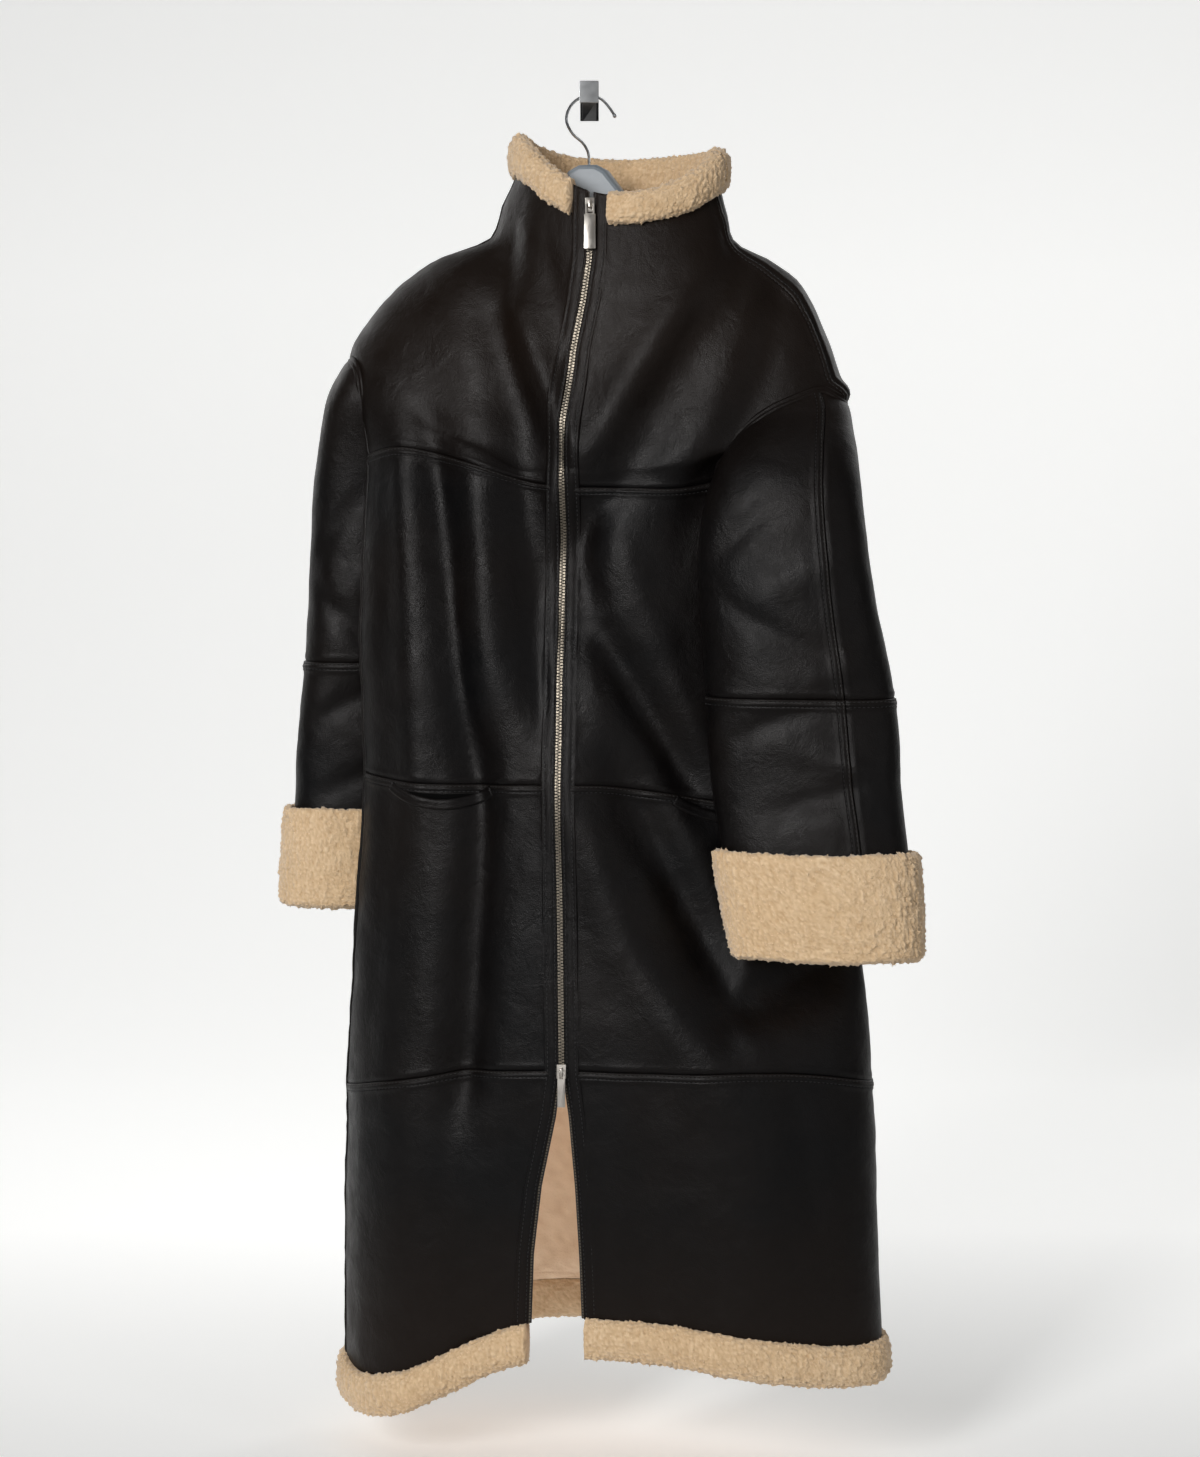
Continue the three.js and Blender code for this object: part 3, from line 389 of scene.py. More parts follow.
def angle_at_line(t, line_x):
    """Angle where the body's front meets a line of x by height, for every place in t."""
    low = np.full(np.shape(t), -math.radians(85))
    high = np.full(np.shape(t), math.radians(85))
    for _ in range(36):
        angle = (low + high) / 2
        p = body_point(angle, t)
        left = p[..., 0] < line_x(p[..., 2])
        low = np.where(left, angle, low)
        high = np.where(left, high, angle)
    return (low + high) / 2


def zip_edge(side, out):
    column = 2 if side > 0 else 1
    return lambda z: np.interp(z, ZIP_LINE[::-1, 0], ZIP_LINE[::-1, column]) + side * out


def side_angle(t, side):
    s = np.clip((np.asarray(t) - 7) / 3, 0, 1)
    return 1.3 + 0.48 * s if side > 0 else -(1.6 - 0.15 * s)


PANEL_EDGE = TEETH_HALF + 0.55 * BAND_WIDTH


def front_range(side):
    def angles(t):
        near = angle_at_line(t, zip_edge(side, PANEL_EDGE))
        far = side_angle(t, side)
        return (near, far) if side > 0 else (far, near)

    return angles


def back_range(t):
    return side_angle(t, 1), side_angle(t, -1) + 2 * math.pi


def graded(length, step, fine_ends=(True, True)):
    """Places along a length in millimetres, close together near each end that has a seam."""
    start = [x for x in LAP_LINES if x < length * 0.4] if fine_ends[0] else [0.0]
    end = [length - x for x in LAP_LINES if x < length * 0.4][::-1] if fine_ends[1] else [length]
    count = max(int((end[0] - start[-1]) / step), 1)
    middle = list(np.linspace(start[-1], end[0], count + 1))[1:-1]
    return np.array(start + middle + end)


def even_rows(surface, middle_angle, t0, t1, step):
    """Places down a piece whose steps are even in millimetres along its middle."""
    t = np.linspace(t0, t1, 600)
    p = surface(np.broadcast_to(middle_angle(t), t.shape), t)
    run = run_along(p)
    places = graded(run[-1], step)
    return np.interp(places, run, t), places, run[-1]


def panel_grid(surface, angles, t0, t1, step, inset=SEAM_GAP / 2):
    """Angles and places of a panel's grid, and the distance of each line to the panel's four edges."""
    middle = lambda t: (angles(t)[0] + angles(t)[1]) / 2
    t, down, length = even_rows(lambda a, s: surface(a, s, fine=False), middle, t0, t1, step)
    a0, a1 = (np.broadcast_to(a, t.shape) for a in angles(t))
    u = np.linspace(0, 1, 240)
    samples = a0[:, None] + (a1 - a0)[:, None] * u
    p = surface(samples, np.broadcast_to(t[:, None], samples.shape), fine=False)
    steps = np.linalg.norm(np.diff(p, axis=1), axis=2)
    run = np.concatenate([np.zeros((len(t), 1)), np.cumsum(steps, axis=1)], 1)
    width = run[:, -1]
    lines = graded(float(np.mean(width)), step)
    near = min(len(LAP_LINES), len(lines) // 2)
    grid_a = np.zeros((len(t), len(lines)))
    left = np.zeros_like(grid_a)
    for i in range(len(t)):
        s = lines * 0.0
        s[:near] = lines[:near]
        s[-near:] = width[i] - (lines[-1] - lines[-near:])
        s[near - 1 : len(lines) - near + 1] = np.linspace(s[near - 1], s[-near], len(lines) - 2 * near + 2)
        s = np.clip(s, inset, width[i] - inset)
        grid_a[i] = np.interp(s, run[i], samples[i])
        left[i] = s
    grid_t = np.broadcast_to(t[:, None], grid_a.shape)
    top = np.broadcast_to(down[:, None], grid_a.shape)
    reach = {"left": left, "right": width[:, None] - left, "top": top, "bottom": length - top}
    return grid_a, grid_t, reach, (float(width.max()), length)


def step_up(x, a, b):
    s = np.clip((x - a) / (b - a), 0, 1)
    return s * s * (3 - 2 * s)


def lap(d, points):
    """Raised lap of a seam: a turned edge, a flat band and the ditch of its stitches."""
    pucker = 0.25 * value_noise(points, 9.0, 5) + 0.2 * value_noise(points, 23.0, 6)
    band = 1.7 * step_up(d, -0.2, 1.2) * (1 - 0.75 * step_up(d, 8.2, 11.5))
    ditch = -0.7 * np.exp(-(((d - 2.4) / 0.55) ** 2)) - 0.8 * np.exp(-(((d - 7.4) / 0.6) ** 2))
    swell = 0.45 * np.exp(-(((d - 4.9) / 1.6) ** 2))
    return (band + swell) * (1 + pucker) + ditch + 0.5 * np.exp(-(((d - 12) / 4.0) ** 2)) * pucker


def under(d, points):
    """The side of a seam that goes under its lap, drawn in and puckered."""
    pucker = value_noise(points, 11.0, 8)
    return -0.9 * np.exp(-d / 1.8) + 0.55 * np.exp(-(((d - 5) / 3.0) ** 2)) * (1 + 0.7 * pucker)


def mesh_object(name, verts, faces, materials, picks=None, smooth=True, attributes=None):
    """New object from points in millimetres, faces as an array or a list, and values for its points."""
    mesh = bpy.data.meshes.new(name)
    faces = faces.tolist() if isinstance(faces, np.ndarray) else faces
    mesh.from_pydata((np.asarray(verts) * MM).tolist(), [], faces)
    for material in materials:
        mesh.materials.append(material)
    if picks is not None:
        mesh.polygons.foreach_set("material_index", np.asarray(picks, np.int32))
    mesh.polygons.foreach_set("use_smooth", np.full(len(mesh.polygons), smooth))
    for key, values in (attributes or {}).items():
        layer = mesh.attributes.new(key, "FLOAT", "POINT")
        layer.data.foreach_set("value", np.asarray(values, np.float32))
    mesh.update()
    made = bpy.data.objects.new(name, mesh)
    bpy.context.collection.objects.link(made)
    return made


def quads(rows, columns, start=0, closed=False, flip=False):
    r = np.arange(rows - 1)[:, None]
    c = np.arange(columns if closed else columns - 1)[None, :]
    a = start + r * columns + c
    b = start + r * columns + (c + 1) % columns
    faces = np.stack([a, a + columns, b + columns, b], -1).reshape(-1, 4)
    return faces[:, ::-1] if flip else faces


def tube(rows, columns, flip=False):
    """Faces of a tube, each end closed on one middle point; the two come after all the rings' points."""
    hub, last = rows * columns, (rows - 1) * columns
    turn = [(c, (c + 1) % columns) for c in range(columns)]
    caps = [[hub, c, d] for c, d in turn] + [[hub + 1, last + d, last + c] for c, d in turn]
    caps = [cap[::-1] for cap in caps] if flip else caps
    return quads(rows, columns, closed=True, flip=flip).tolist() + caps


def with_middles(grid):
    """Points of the rings of a tube, and the middle of its first and last ring."""
    return np.concatenate([grid.reshape(-1, 3), [grid[0].mean(0), grid[-1].mean(0)]])


def shell(outer, inner, gone):
    """Closed wall from two grids of points that face each other, without the quads that are wholly gone."""
    rows, columns = outer.shape[:2]
    count = rows * columns
    verts = np.concatenate([outer.reshape(-1, 3), inner.reshape(-1, 3)])
    front = quads(rows, columns)
    front = front[~gone.reshape(-1)[front].all(axis=1)]
    edges = np.concatenate([front[:, [k, (k + 1) % 4]] for k in range(4)])
    there = set(map(tuple, edges.tolist()))
    rim = np.array([(b, a, a + count, b + count) for a, b in edges.tolist() if (b, a) not in there])
    return verts, np.concatenate([front, front[:, ::-1] + count, rim]), len(front)


# Stitches: their distance, and the grid lines beside a lapped edge that they follow
STITCH_PITCH = 4.4
STITCH_LINES = (4, 9)
stitch_points = []


def note_stitches(line, normals):
    """Remember the middle, direction and normal of each stitch along a line on the cloth."""
    run = run_along(line)
    if run[-1] < 3 * STITCH_PITCH:
        return
    places = np.arange(STITCH_PITCH, run[-1] - STITCH_PITCH / 2, STITCH_PITCH)
    along = np.gradient(line, axis=0)
    stitch_points.append([picked(values, places, run) for values in (line, along, normals)])


def sew_stitches():
    """Every stitch of the seams as one piece: short threads that dip into the leather at both ends."""
    middle, along, out = (np.concatenate([run[k] for run in stitch_points]) for k in range(3))
    along = unit(along)
    out = unit(out)
    across = np.cross(along, out)
    corners = [(-1.5, 0, -0.35), (-0.9, 0.34, 0.05), (-0.9, 0, 0.4), (-0.9, -0.34, 0.05)]
    corners += [(0.9, 0.34, 0.05), (0.9, 0, 0.4), (0.9, -0.34, 0.05), (1.5, 0, -0.35)]
    shape = np.array([
        [0, 1, 2], [0, 2, 3], [0, 3, 1], [1, 4, 2], [4, 5, 2], [2, 5, 3],
        [5, 6, 3], [3, 6, 1], [6, 4, 1], [7, 5, 4], [7, 6, 5], [7, 4, 6],
    ])
    verts = [middle + along * x + across * y + out * (z + 0.15) for x, y, z in corners]
    verts = np.stack(verts, 1)
    faces = (shape[None] + (np.arange(len(middle)) * len(corners))[:, None, None]).reshape(-1, 3)
    made = mesh_object("seam_stitches", verts.reshape(-1, 3), faces, [THREAD])
    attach(made, "coat")


def steadied(normals):
    """Normals of a grid, with those that a tight fold turned over replaced by their surroundings' mean."""
    mean = normals
    for _ in range(10):
        wide = np.pad(mean, ((1, 1), (1, 1), (0, 0)), "edge")
        mean = (4 * mean + wide[:-2, 1:-1] + wide[2:, 1:-1] + wide[1:-1, :-2] + wide[1:-1, 2:]) / 8
    mean = unit(mean)
    turned = np.sum(mean * normals, -1, keepdims=True) < 0.75
    return np.where(turned, mean, normals)


def leather_panel(name, node, surface, angles, t0, t1, edges, step=GRID, remove=None, wall=WALL):
    """A panel of leather with its wool side, its seams drawn in relief along its edges."""
    a, t, reach, flat = panel_grid(surface, angles, t0, t1, step)
    base = surface(a, t)
    normal = steadied(normal_of(lambda x, s: surface(x, s, fine=False), a, t))
    rise = 1.3 * value_noise(base, 64, 1) + 0.55 * value_noise(base, 25, 2) + 0.2 * value_noise(base, 11, 3)
    wear = np.zeros(a.shape)
    for edge, kind in edges.items():
        if kind == "lap":
            rise = rise + lap(reach[edge], base)
            wear = np.maximum(wear, step_up(reach[edge], 0.2, 1.6) * (1 - step_up(reach[edge], 2.2, 4.5)))
        elif kind == "under":
            rise = rise + under(reach[edge], base)
        elif kind == "edge":
            rise = rise - 0.8 * np.exp(-reach[edge] / 1.2)
    outer = base + normal * rise[..., None]
    pile, _ = curls(base - normal * wall, CURL * 1.5, 40)
    inner = base + normal * (-wall + 1.4 * (0.6 - pile))[..., None]
    gone = remove(base) if remove is not None else np.zeros(a.shape, bool)
    for edge, kind in edges.items():
        if kind != "lap":
            continue
        for line in STITCH_LINES:
            row = line if edge in ("left", "top") else -1 - line
            at = np.s_[row] if edge in ("top", "bottom") else np.s_[:, row]
            keep = ~gone[at]
            note_stitches(outer[at][keep], normal[at][keep])
    verts, faces, front_count = shell(outer, inner, gone)
    picks = np.zeros(len(faces), int)
    picks[front_count : 2 * front_count] = 1
    depth = np.concatenate([np.ones(a.size), pile.reshape(-1)])
    worn = np.concatenate([wear.reshape(-1), np.zeros(a.size)])
    if remove is not None:
        used = np.unique(faces)
        renumber = np.full(len(verts), -1)
        renumber[used] = np.arange(len(used))
        verts, faces = verts[used], renumber[faces]
        depth, worn = depth[used], worn[used]
    # pile: height of the wool side's curls, which also keys the painted shade in their creases
    values = {"pile": depth, "wear": worn}
    made = mesh_object(name, verts, faces, [LEATHER, WOOL_INSIDE_PAINTED_LIGHT], picks, attributes=values)
    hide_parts(node)
    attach(made, "coat")
    return made


# Materials
LEATHER_SHINE = 0.16


def new_material(name):
    material = bpy.data.materials.new(name)
    material.use_nodes = True
    nodes = material.node_tree.nodes
    return material, nodes, material.node_tree.links, nodes["Principled BSDF"]


def node_of(nodes, kind, **values):
    made = nodes.new(kind)
    for key, value in values.items():
        if key in made.inputs:
            made.inputs[key].default_value = value
        else:
            setattr(made, key, value)
    return made


def set_inputs(node, values):
    for key, value in values.items():
        node.inputs[key].default_value = value


def noise(nodes, links, coords, scale, detail=4.0, roughness=0.55):
    made = node_of(nodes, "ShaderNodeTexNoise", Scale=scale, Detail=detail, Roughness=roughness)
    links.new(coords, made.inputs["Vector"])
    return made.outputs["Fac"]


def ramp(nodes, links, factor, stops):
    made = nodes.new("ShaderNodeValToRGB")
    links.new(factor, made.inputs["Fac"])
    elements = made.color_ramp.elements
    while len(elements) < len(stops):
        elements.new(0.5)
    for element, (place, color) in zip(elements, stops):
        element.position = place
        element.color = (*color, 1) if len(color) == 3 else color
    return made.outputs["Color"]


def bump(nodes, links, height, strength, distance, below=None):
    made = node_of(nodes, "ShaderNodeBump", Strength=strength, Distance=distance)
    links.new(height, made.inputs["Height"])
    if below is not None:
        links.new(below, made.inputs["Normal"])
    return made.outputs["Normal"]


def mix(nodes, links, factor, a, b):
    made = nodes.new("ShaderNodeMix")
    made.data_type = "RGBA"
    links.new(factor, made.inputs["Factor"])
    for value, socket in ((a, made.inputs[6]), (b, made.inputs[7])):
        if isinstance(value, tuple):
            socket.default_value = (*value, 1)
        else:
            links.new(value, socket)
    return made.outputs[2]


def attribute(nodes, name):
    made = nodes.new("ShaderNodeAttribute")
    made.attribute_name = name
    return made.outputs["Fac"]


def painted_wool_reflection(nodes, links, coords):
    """1 at the collar and along the hem, where a painted reflection of the tan wool rolls makes the black a
    little browner, and 0 between them.
    """
    height = nodes.new("ShaderNodeSeparateXYZ")
    links.new(coords, height.inputs[0])
    total = nodes.new("ShaderNodeMath")
    total.operation = "ADD"
    for socket, (start, end) in enumerate([(-0.38, -0.24), (-1.08, -1.22)]):
        part = nodes.new("ShaderNodeMapRange")
        set_inputs(part, {"From Min": start, "From Max": end})
        links.new(height.outputs["Z"], part.inputs["Value"])
        links.new(part.outputs["Result"], total.inputs[socket])
    return total.outputs[0]


def leather_material():
    material, nodes, links, shader = new_material("black_leather")
    coords = nodes.new("ShaderNodeTexCoord").outputs["Object"]
    shade = noise(nodes, links, coords, 7.0)
    worn = attribute(nodes, "wear")
    base = ramp(nodes, links, shade, [(0.32, (0.0012, 0.0012, 0.0015)), (0.7, (0.0036, 0.0022, 0.0017))])
    # The browner black near the collar and hem is a painted reflection of the wool rolls beside them.
    base = mix(nodes, links, painted_wool_reflection(nodes, links, coords), base, (0.0065, 0.0036, 0.0022))
    links.new(mix(nodes, links, worn, base, (0.008, 0.0064, 0.0055)), shader.inputs["Base Color"])
    gloss = noise(nodes, links, coords, 42.0, 7.0)
    rough = ramp(nodes, links, gloss, [(0.32, (0.36, 0.36, 0.36)), (0.68, (0.5, 0.5, 0.5))])
    links.new(rough, shader.inputs["Roughness"])
    set_inputs(shader, {"Specular IOR Level": LEATHER_SHINE, "Specular Tint": (1.0, 0.98, 0.97, 1)})
    pores = node_of(nodes, "ShaderNodeTexVoronoi", Scale=520.0, feature="DISTANCE_TO_EDGE")
    links.new(coords, pores.inputs["Vector"])
    grain = ramp(nodes, links, pores.outputs["Distance"], [(0.0, (0, 0, 0)), (0.2, (1, 1, 1))])
    wrinkle = node_of(nodes, "ShaderNodeTexNoise", Scale=46.0, Detail=5.0, Roughness=0.6, Distortion=0.6)
    links.new(coords, wrinkle.inputs["Vector"])
    first = bump(nodes, links, wrinkle.outputs["Fac"], 0.38, 0.003)
    second = bump(nodes, links, noise(nodes, links, coords, 170.0, 8.0, 0.7), 0.32, 0.0012, first)
    third = bump(nodes, links, grain, 0.3, 0.0003, second)
    links.new(third, shader.inputs["Normal"])
    return material


def wool_material(name, light, dark, tint, glow=0.0):
    material, nodes, links, shader = new_material(name)
    coords = nodes.new("ShaderNodeTexCoord").outputs["Object"]
    depth = attribute(nodes, "pile")
    half = tuple(0.5 * (a + b) for a, b in zip(dark, light))
    # Creases between the curls darker than the crowns: painted shade keyed on the curl height in the pile
    # attribute.
    crown = ramp(nodes, links, depth, [(0.0, dark), (0.55, half), (1.0, light)])
    patch = noise(nodes, links, coords, 14.0, 5.0)
    broad = ramp(nodes, links, patch, [(0.35, (0, 0, 0)), (0.7, (1, 1, 1))])
    shown = mix(nodes, links, broad, crown, mix(nodes, links, depth, dark, tint))
    links.new(shown, shader.inputs["Base Color"])
    # Emission from glow is painted light, for the copies of the wool that stand in shade.
    links.new(shown, shader.inputs["Emission Color"])
    set_inputs(shader, {
        "Emission Strength": glow, "Roughness": 0.92, "Specular IOR Level": 0.2,
        "Sheen Weight": 0.35, "Sheen Roughness": 0.5,
    })
    fibres = noise(nodes, links, coords, 900.0, 8.0, 0.75)
    locks = node_of(nodes, "ShaderNodeTexVoronoi", Scale=420.0)
    links.new(coords, locks.inputs["Vector"])
    first = bump(nodes, links, locks.outputs["Distance"], 0.5, 0.0012)
    links.new(bump(nodes, links, fibres, 0.6, 0.0008, first), shader.inputs["Normal"])
    return material


def metal_material(name, color, low, high, scratch=260.0):
    material, nodes, links, shader = new_material(name)
    coords = nodes.new("ShaderNodeTexCoord").outputs["Object"]
    set_inputs(shader, {"Metallic": 1.0})
    shade = noise(nodes, links, coords, 60.0)
    dull = tuple(c * 0.85 for c in color)
    links.new(ramp(nodes, links, shade, [(0.3, dull), (0.6, color)]), shader.inputs["Base Color"])
    rough = noise(nodes, links, coords, scratch, 6.0)
    worn = ramp(nodes, links, rough, [(0.3, (low,) * 3), (0.7, (high,) * 3)])
    links.new(worn, shader.inputs["Roughness"])
    links.new(bump(nodes, links, rough, 0.12, 0.0002), shader.inputs["Normal"])
    return material


def matt_material(name, color, roughness, scale=180.0, shine=0.5):
    material, nodes, links, shader = new_material(name)
    coords = nodes.new("ShaderNodeTexCoord").outputs["Object"]
    shade = noise(nodes, links, coords, scale / 8)
    dark = tuple(c * 0.8 for c in color)
    links.new(ramp(nodes, links, shade, [(0.3, dark), (0.7, color)]), shader.inputs["Base Color"])
    set_inputs(shader, {"Roughness": roughness, "Specular IOR Level": shine})
    grain = noise(nodes, links, coords, scale, 8.0)
    links.new(bump(nodes, links, grain, 0.25, 0.0006), shader.inputs["Normal"])
    return material


LEATHER = leather_material()
# Wool: colour of its crowns, of its creases, which is painted shade, and of its paler patches, and its
# glow, which is painted light
WOOL = wool_material("tan_wool", (0.8, 0.592, 0.37), (0.48, 0.31, 0.163), (0.83, 0.635, 0.42))
# Inside wool: a paler copy of the wool that glows, painted light on the wool side seen in the coat's shaded
# inside.
WOOL_INSIDE_PAINTED_LIGHT = wool_material(
    "tan_wool_inside", (0.85, 0.68, 0.51), (0.66, 0.49, 0.34), (0.88, 0.73, 0.57), 0.16
)
# Back hem wool: a slightly paler copy that glows a little, painted light on the roll's shaded face.
WOOL_HEM_PAINTED_LIGHT = wool_material("tan_wool_hem", (0.8, 0.61, 0.41), (0.52, 0.36, 0.21), (0.83, 0.66, 0.46), 0.07)
ZIP_METAL = metal_material("zip_metal", (0.21, 0.182, 0.145), 0.38, 0.54)
PULL_METAL = metal_material("pull_metal", (0.6, 0.56, 0.51), 0.28, 0.44)
STEEL = metal_material("hook_steel", (0.52, 0.54, 0.56), 0.2, 0.4)
LIP_SILVER = metal_material("lip_silver", (0.3, 0.305, 0.31), 0.36, 0.5, 90.0)
HANGER_GREY = matt_material("hanger_grey", (0.2, 0.23, 0.256), 0.4)
HOOK_BLACK = matt_material("hook_black", (0.006, 0.006, 0.007), 0.6, shine=0.15)
THREAD = matt_material("black_thread", (0.02, 0.02, 0.021), 0.6, 900.0)
TAPE = matt_material("zip_tape", (0.012, 0.012, 0.013), 0.75, 900.0)
# Near-black matte for the pockets' openings: painted shadow.
POCKET_SHADOW = matt_material("pocket_dark", (0.0015, 0.0014, 0.0014), 0.9, 300.0, shine=0.05)


# Inside tests for the armholes
def tree_of(surface, angles, t0, t1, rows, columns):
    t = np.linspace(t0, t1, rows)[:, None] + np.zeros((1, columns))
    a = np.linspace(angles[0], angles[1], columns, endpoint=False)[None, :] + np.zeros((rows, 1))
    points = surface(a, t, fine=False)
    faces = quads(rows, columns, closed=True)
    caps = [list(range(columns)), list(range((rows - 1) * columns, rows * columns))]
    return BVHTree.FromPolygons((points.reshape(-1, 3)).tolist(), faces.tolist() + [caps[0][::-1], caps[1]])


BODY_TREE = tree_of(body_surface, (0, 2 * math.pi), 0.0, HEM_EDGE, 150, 120)
SLEEVE = {side: sleeve_surface(side) for side in ("left", "right")}
SLEEVE_TREES = {
    side: tree_of(surface, (-math.pi, math.pi), 0.0, SLEEVE_END, 80, 60) for side, surface in SLEEVE.items()
}


def depth_inside(tree, point):
    """How deep a point lies inside a closed surface, less than 0 outside."""
    place, normal, _, distance = tree.find_nearest(Vector(point))
    return distance if (Vector(point) - place).dot(normal) < 0 else -distance


def inside(tree, deeper, reach):
    """Test of a grid of points, only where their height is in reach."""

    def test(points):
        flat = points.reshape(-1, 3)
        found = np.zeros(len(flat), bool)
        near = np.where((flat[:, 2] > reach[0]) & (flat[:, 2] < reach[1]))[0]
        for i in near:
            found[i] = depth_inside(tree, flat[i]) > deeper
        return found.reshape(points.shape[:-1])

    return test


ARMHOLE_REACH = {"left": (-470, -255), "right": (-520, -220)}


def in_any_sleeve(points):
    tests = [inside(SLEEVE_TREES[side], 5.0, ARMHOLE_REACH[side])(points) for side in SLEEVE]
    return tests[0] | tests[1]


# Body panels
for side in (-1, 1):
    zip_side, far_side = ("left", "right") if side > 0 else ("right", "left")
    for level, (t0, t1) in LEVELS.items():
        edges = {zip_side: "under", far_side: "lap" if side > 0 else "under"}
        edges["top"] = "edge" if level == "yoke" else "lap"
        edges["bottom"] = "edge" if level == "hem" else "under"
        cut = in_any_sleeve if level in ("yoke", "mid") else None
        name = f"front_{WEARER[side]}_{level}"
        leather_panel(f"leather_{name}", name, body_surface, front_range(side), t0, t1, edges, remove=cut)
BACK_GRID = 7.0
BACK_PANELS = {
    "back_yoke": (0, YOKE_SEAM, {"left": "under", "right": "lap", "top": "edge", "bottom": "under"}),
    "back_body": (YOKE_SEAM, HEM_EDGE, {"left": "under", "right": "lap", "top": "lap", "bottom": "edge"}),
}
for name, (t0, t1, edges) in BACK_PANELS.items():
    leather_panel(
        f"leather_{name}", name, body_surface, back_range, t0, t1, edges, BACK_GRID, in_any_sleeve,
    )

# Sleeve panels
for side in SLEEVE:
    start = FRONT_FROM[side]
    ranges = {"front": (start, start + math.pi), "back": (start + math.pi, start + 2 * math.pi)}
    for face, pair in ranges.items():
        for level, (t0, t1) in {"upper": (0.0, ELBOW_SEAM), "lower": (ELBOW_SEAM, SLEEVE_END)}.items():
            edges = {"left": "under", "right": "lap" if face == "front" else "under"}
            edges["top"] = "edge" if level == "upper" else "lap"
            edges["bottom"] = "under" if level == "upper" else "edge"
            cut = inside(BODY_TREE, 5.0, (-600, -200)) if level == "upper" else None
            angles = lambda t, pair=pair: (pair[0] + 0 * t, pair[1] + 0 * t)
            name = f"sleeve_{side}_{face}_{level}"
            leather_panel(f"leather_{name}", name, SLEEVE[side], angles, t0, t1, edges, remove=cut)


def strip_along(name, node, points, normals, width, rise, material, profile):
    """Strip swept along a line on the cloth.

    The profile is rows of (across, out) in parts of the width and the rise.
    """
    across = unit(np.cross(unit(np.gradient(points, axis=0)), normals))
    grid = np.stack([points + across * u * width + normals * v * rise for u, v in profile], 1)
    made = mesh_object(name, with_middles(grid), tube(*grid.shape[:2]), [material])
    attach(made, "coat")
    if node:
        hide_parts(node)


LAP_PROFILE = [
    (-0.5, -0.6), (-0.52, 0.2), (-0.42, 0.8), (-0.18, 1.0), (-0.05, 0.62),
    (0.06, 0.62), (0.2, 1.0), (0.42, 0.8), (0.52, 0.2), (0.5, -0.6),
]


def smooth_normals(angle, t):
    return normal_of(lambda a, s: body_surface(a, s, fine=False), angle, t)


def body_line(t, angle, offset):
    return body_surface(angle, t, offset), smooth_normals(angle, t)


# Leather bands along the zip: rows of (share of the width from the zip, height over the panel)
BAND_PROFILE = [
    (0.0, -4.0), (0.0, 0.9), (0.05, 1.9), (0.12, 1.6), (0.19, 1.2), (0.26, 1.7), (0.45, 2.0), (0.64, 1.9),
    (0.76, 1.4), (0.83, 1.7), (0.93, 1.9), (0.99, 1.5), (1.03, 0.4), (1.03, -1.6), (0.6, -4.0),
]
BAND_STITCHES = (4, 8)
ABOVE_TOP = 14


def zip_band(side):
    who = WEARER[side]
    t = np.concatenate([np.linspace(-0.75, 0, ABOVE_TOP)[:-1], np.linspace(0, HEM_EDGE, 420)])
    grid = []
    for share, out in BAND_PROFILE:
        angle = angle_at_line(t, zip_edge(side, TEETH_HALF + BAND_WIDTH * share))
        grid.append(body_surface(angle, t, out))
    grid = np.stack(grid, 1)
    faces = tube(*grid.shape[:2], flip=side < 0)
    made = mesh_object(f"leather_zip_band_{who}", with_middles(grid), faces, [LEATHER])
    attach(made, "coat")
    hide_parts(f"zip_band_{who}")
    below_top = np.s_[ABOVE_TOP - 1:]
    normal = smooth_normals(angle_at_line(t, zip_edge(side, 6.0)), t)[below_top]
    for column in BAND_STITCHES:
        note_stitches(grid[below_top, column] + normal * 0.1, normal)


for side in (-1, 1):
    zip_band(side)

# Zip tape and teeth
TOOTH_PITCH = 3.0


def tooth_template(side):
    """One tooth in its own frame: x across towards the other side, y along, z out."""
    x = np.array([-0.6, 1.1, 2.3, 3.1])
    half = np.array([0.95, 0.95, 0.7, 0.9])
    rise = np.array([1.5, 1.5, 1.35, 1.1])
    verts = []
    for cx, cy, cz in zip(x, half, rise):
        verts += [(cx, -cy, -cz), (cx, cy, -cz), (cx, cy, cz), (cx, -cy, cz)]
    verts = np.array(verts)
    verts[:, 0] = (verts[:, 0] - 2.6) * 0.86
    verts[:, 0] *= side
    faces = [[0, 1, 2, 3], [15, 14, 13, 12]]
    for i in range(3):
        for k in range(4):
            faces.append([4 * i + k, 4 * i + 4 + k, 4 * i + 4 + (k + 1) % 4, 4 * i + (k + 1) % 4])
    faces = np.array(faces)
    return verts, faces if side > 0 else faces[:, ::-1]


def along_line(t0, t1, side, out, offset, pitch, shift=0.0):
    """Evenly spaced points, normals and directions beside the zip."""
    t = np.linspace(t0, t1, 4000)
    points, normals = body_line(t, angle_at_line(t, zip_edge(side, out)), offset)
    run = run_along(points)
    places = np.arange(pitch * (0.5 + shift), run[-1], pitch)
    tangent = unit(np.gradient(points, axis=0))
    return [picked(values, places, run) for values in (points, normals, tangent)]


def teeth(name, nodes, runs):
    """Rows of teeth as one piece."""
    verts, faces = [], []
    count = 0
    for side, (points, normals, tangents) in runs:
        template, shape = tooth_template(side)
        for p, n, d in zip(points, normals, tangents):
            n = unit(n)
            across = unit(np.cross(d, n))
            if across[0] < 0:
                across = -across
            verts.append(p + template[:, :1] * across + template[:, 1:2] * d + template[:, 2:] * n)
            faces.append(shape + count)
            count += len(template)
    made = mesh_object(name, np.concatenate(verts), np.concatenate(faces), [ZIP_METAL], smooth=False)
    for node in nodes:
        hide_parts(node)
    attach(made, "coat")


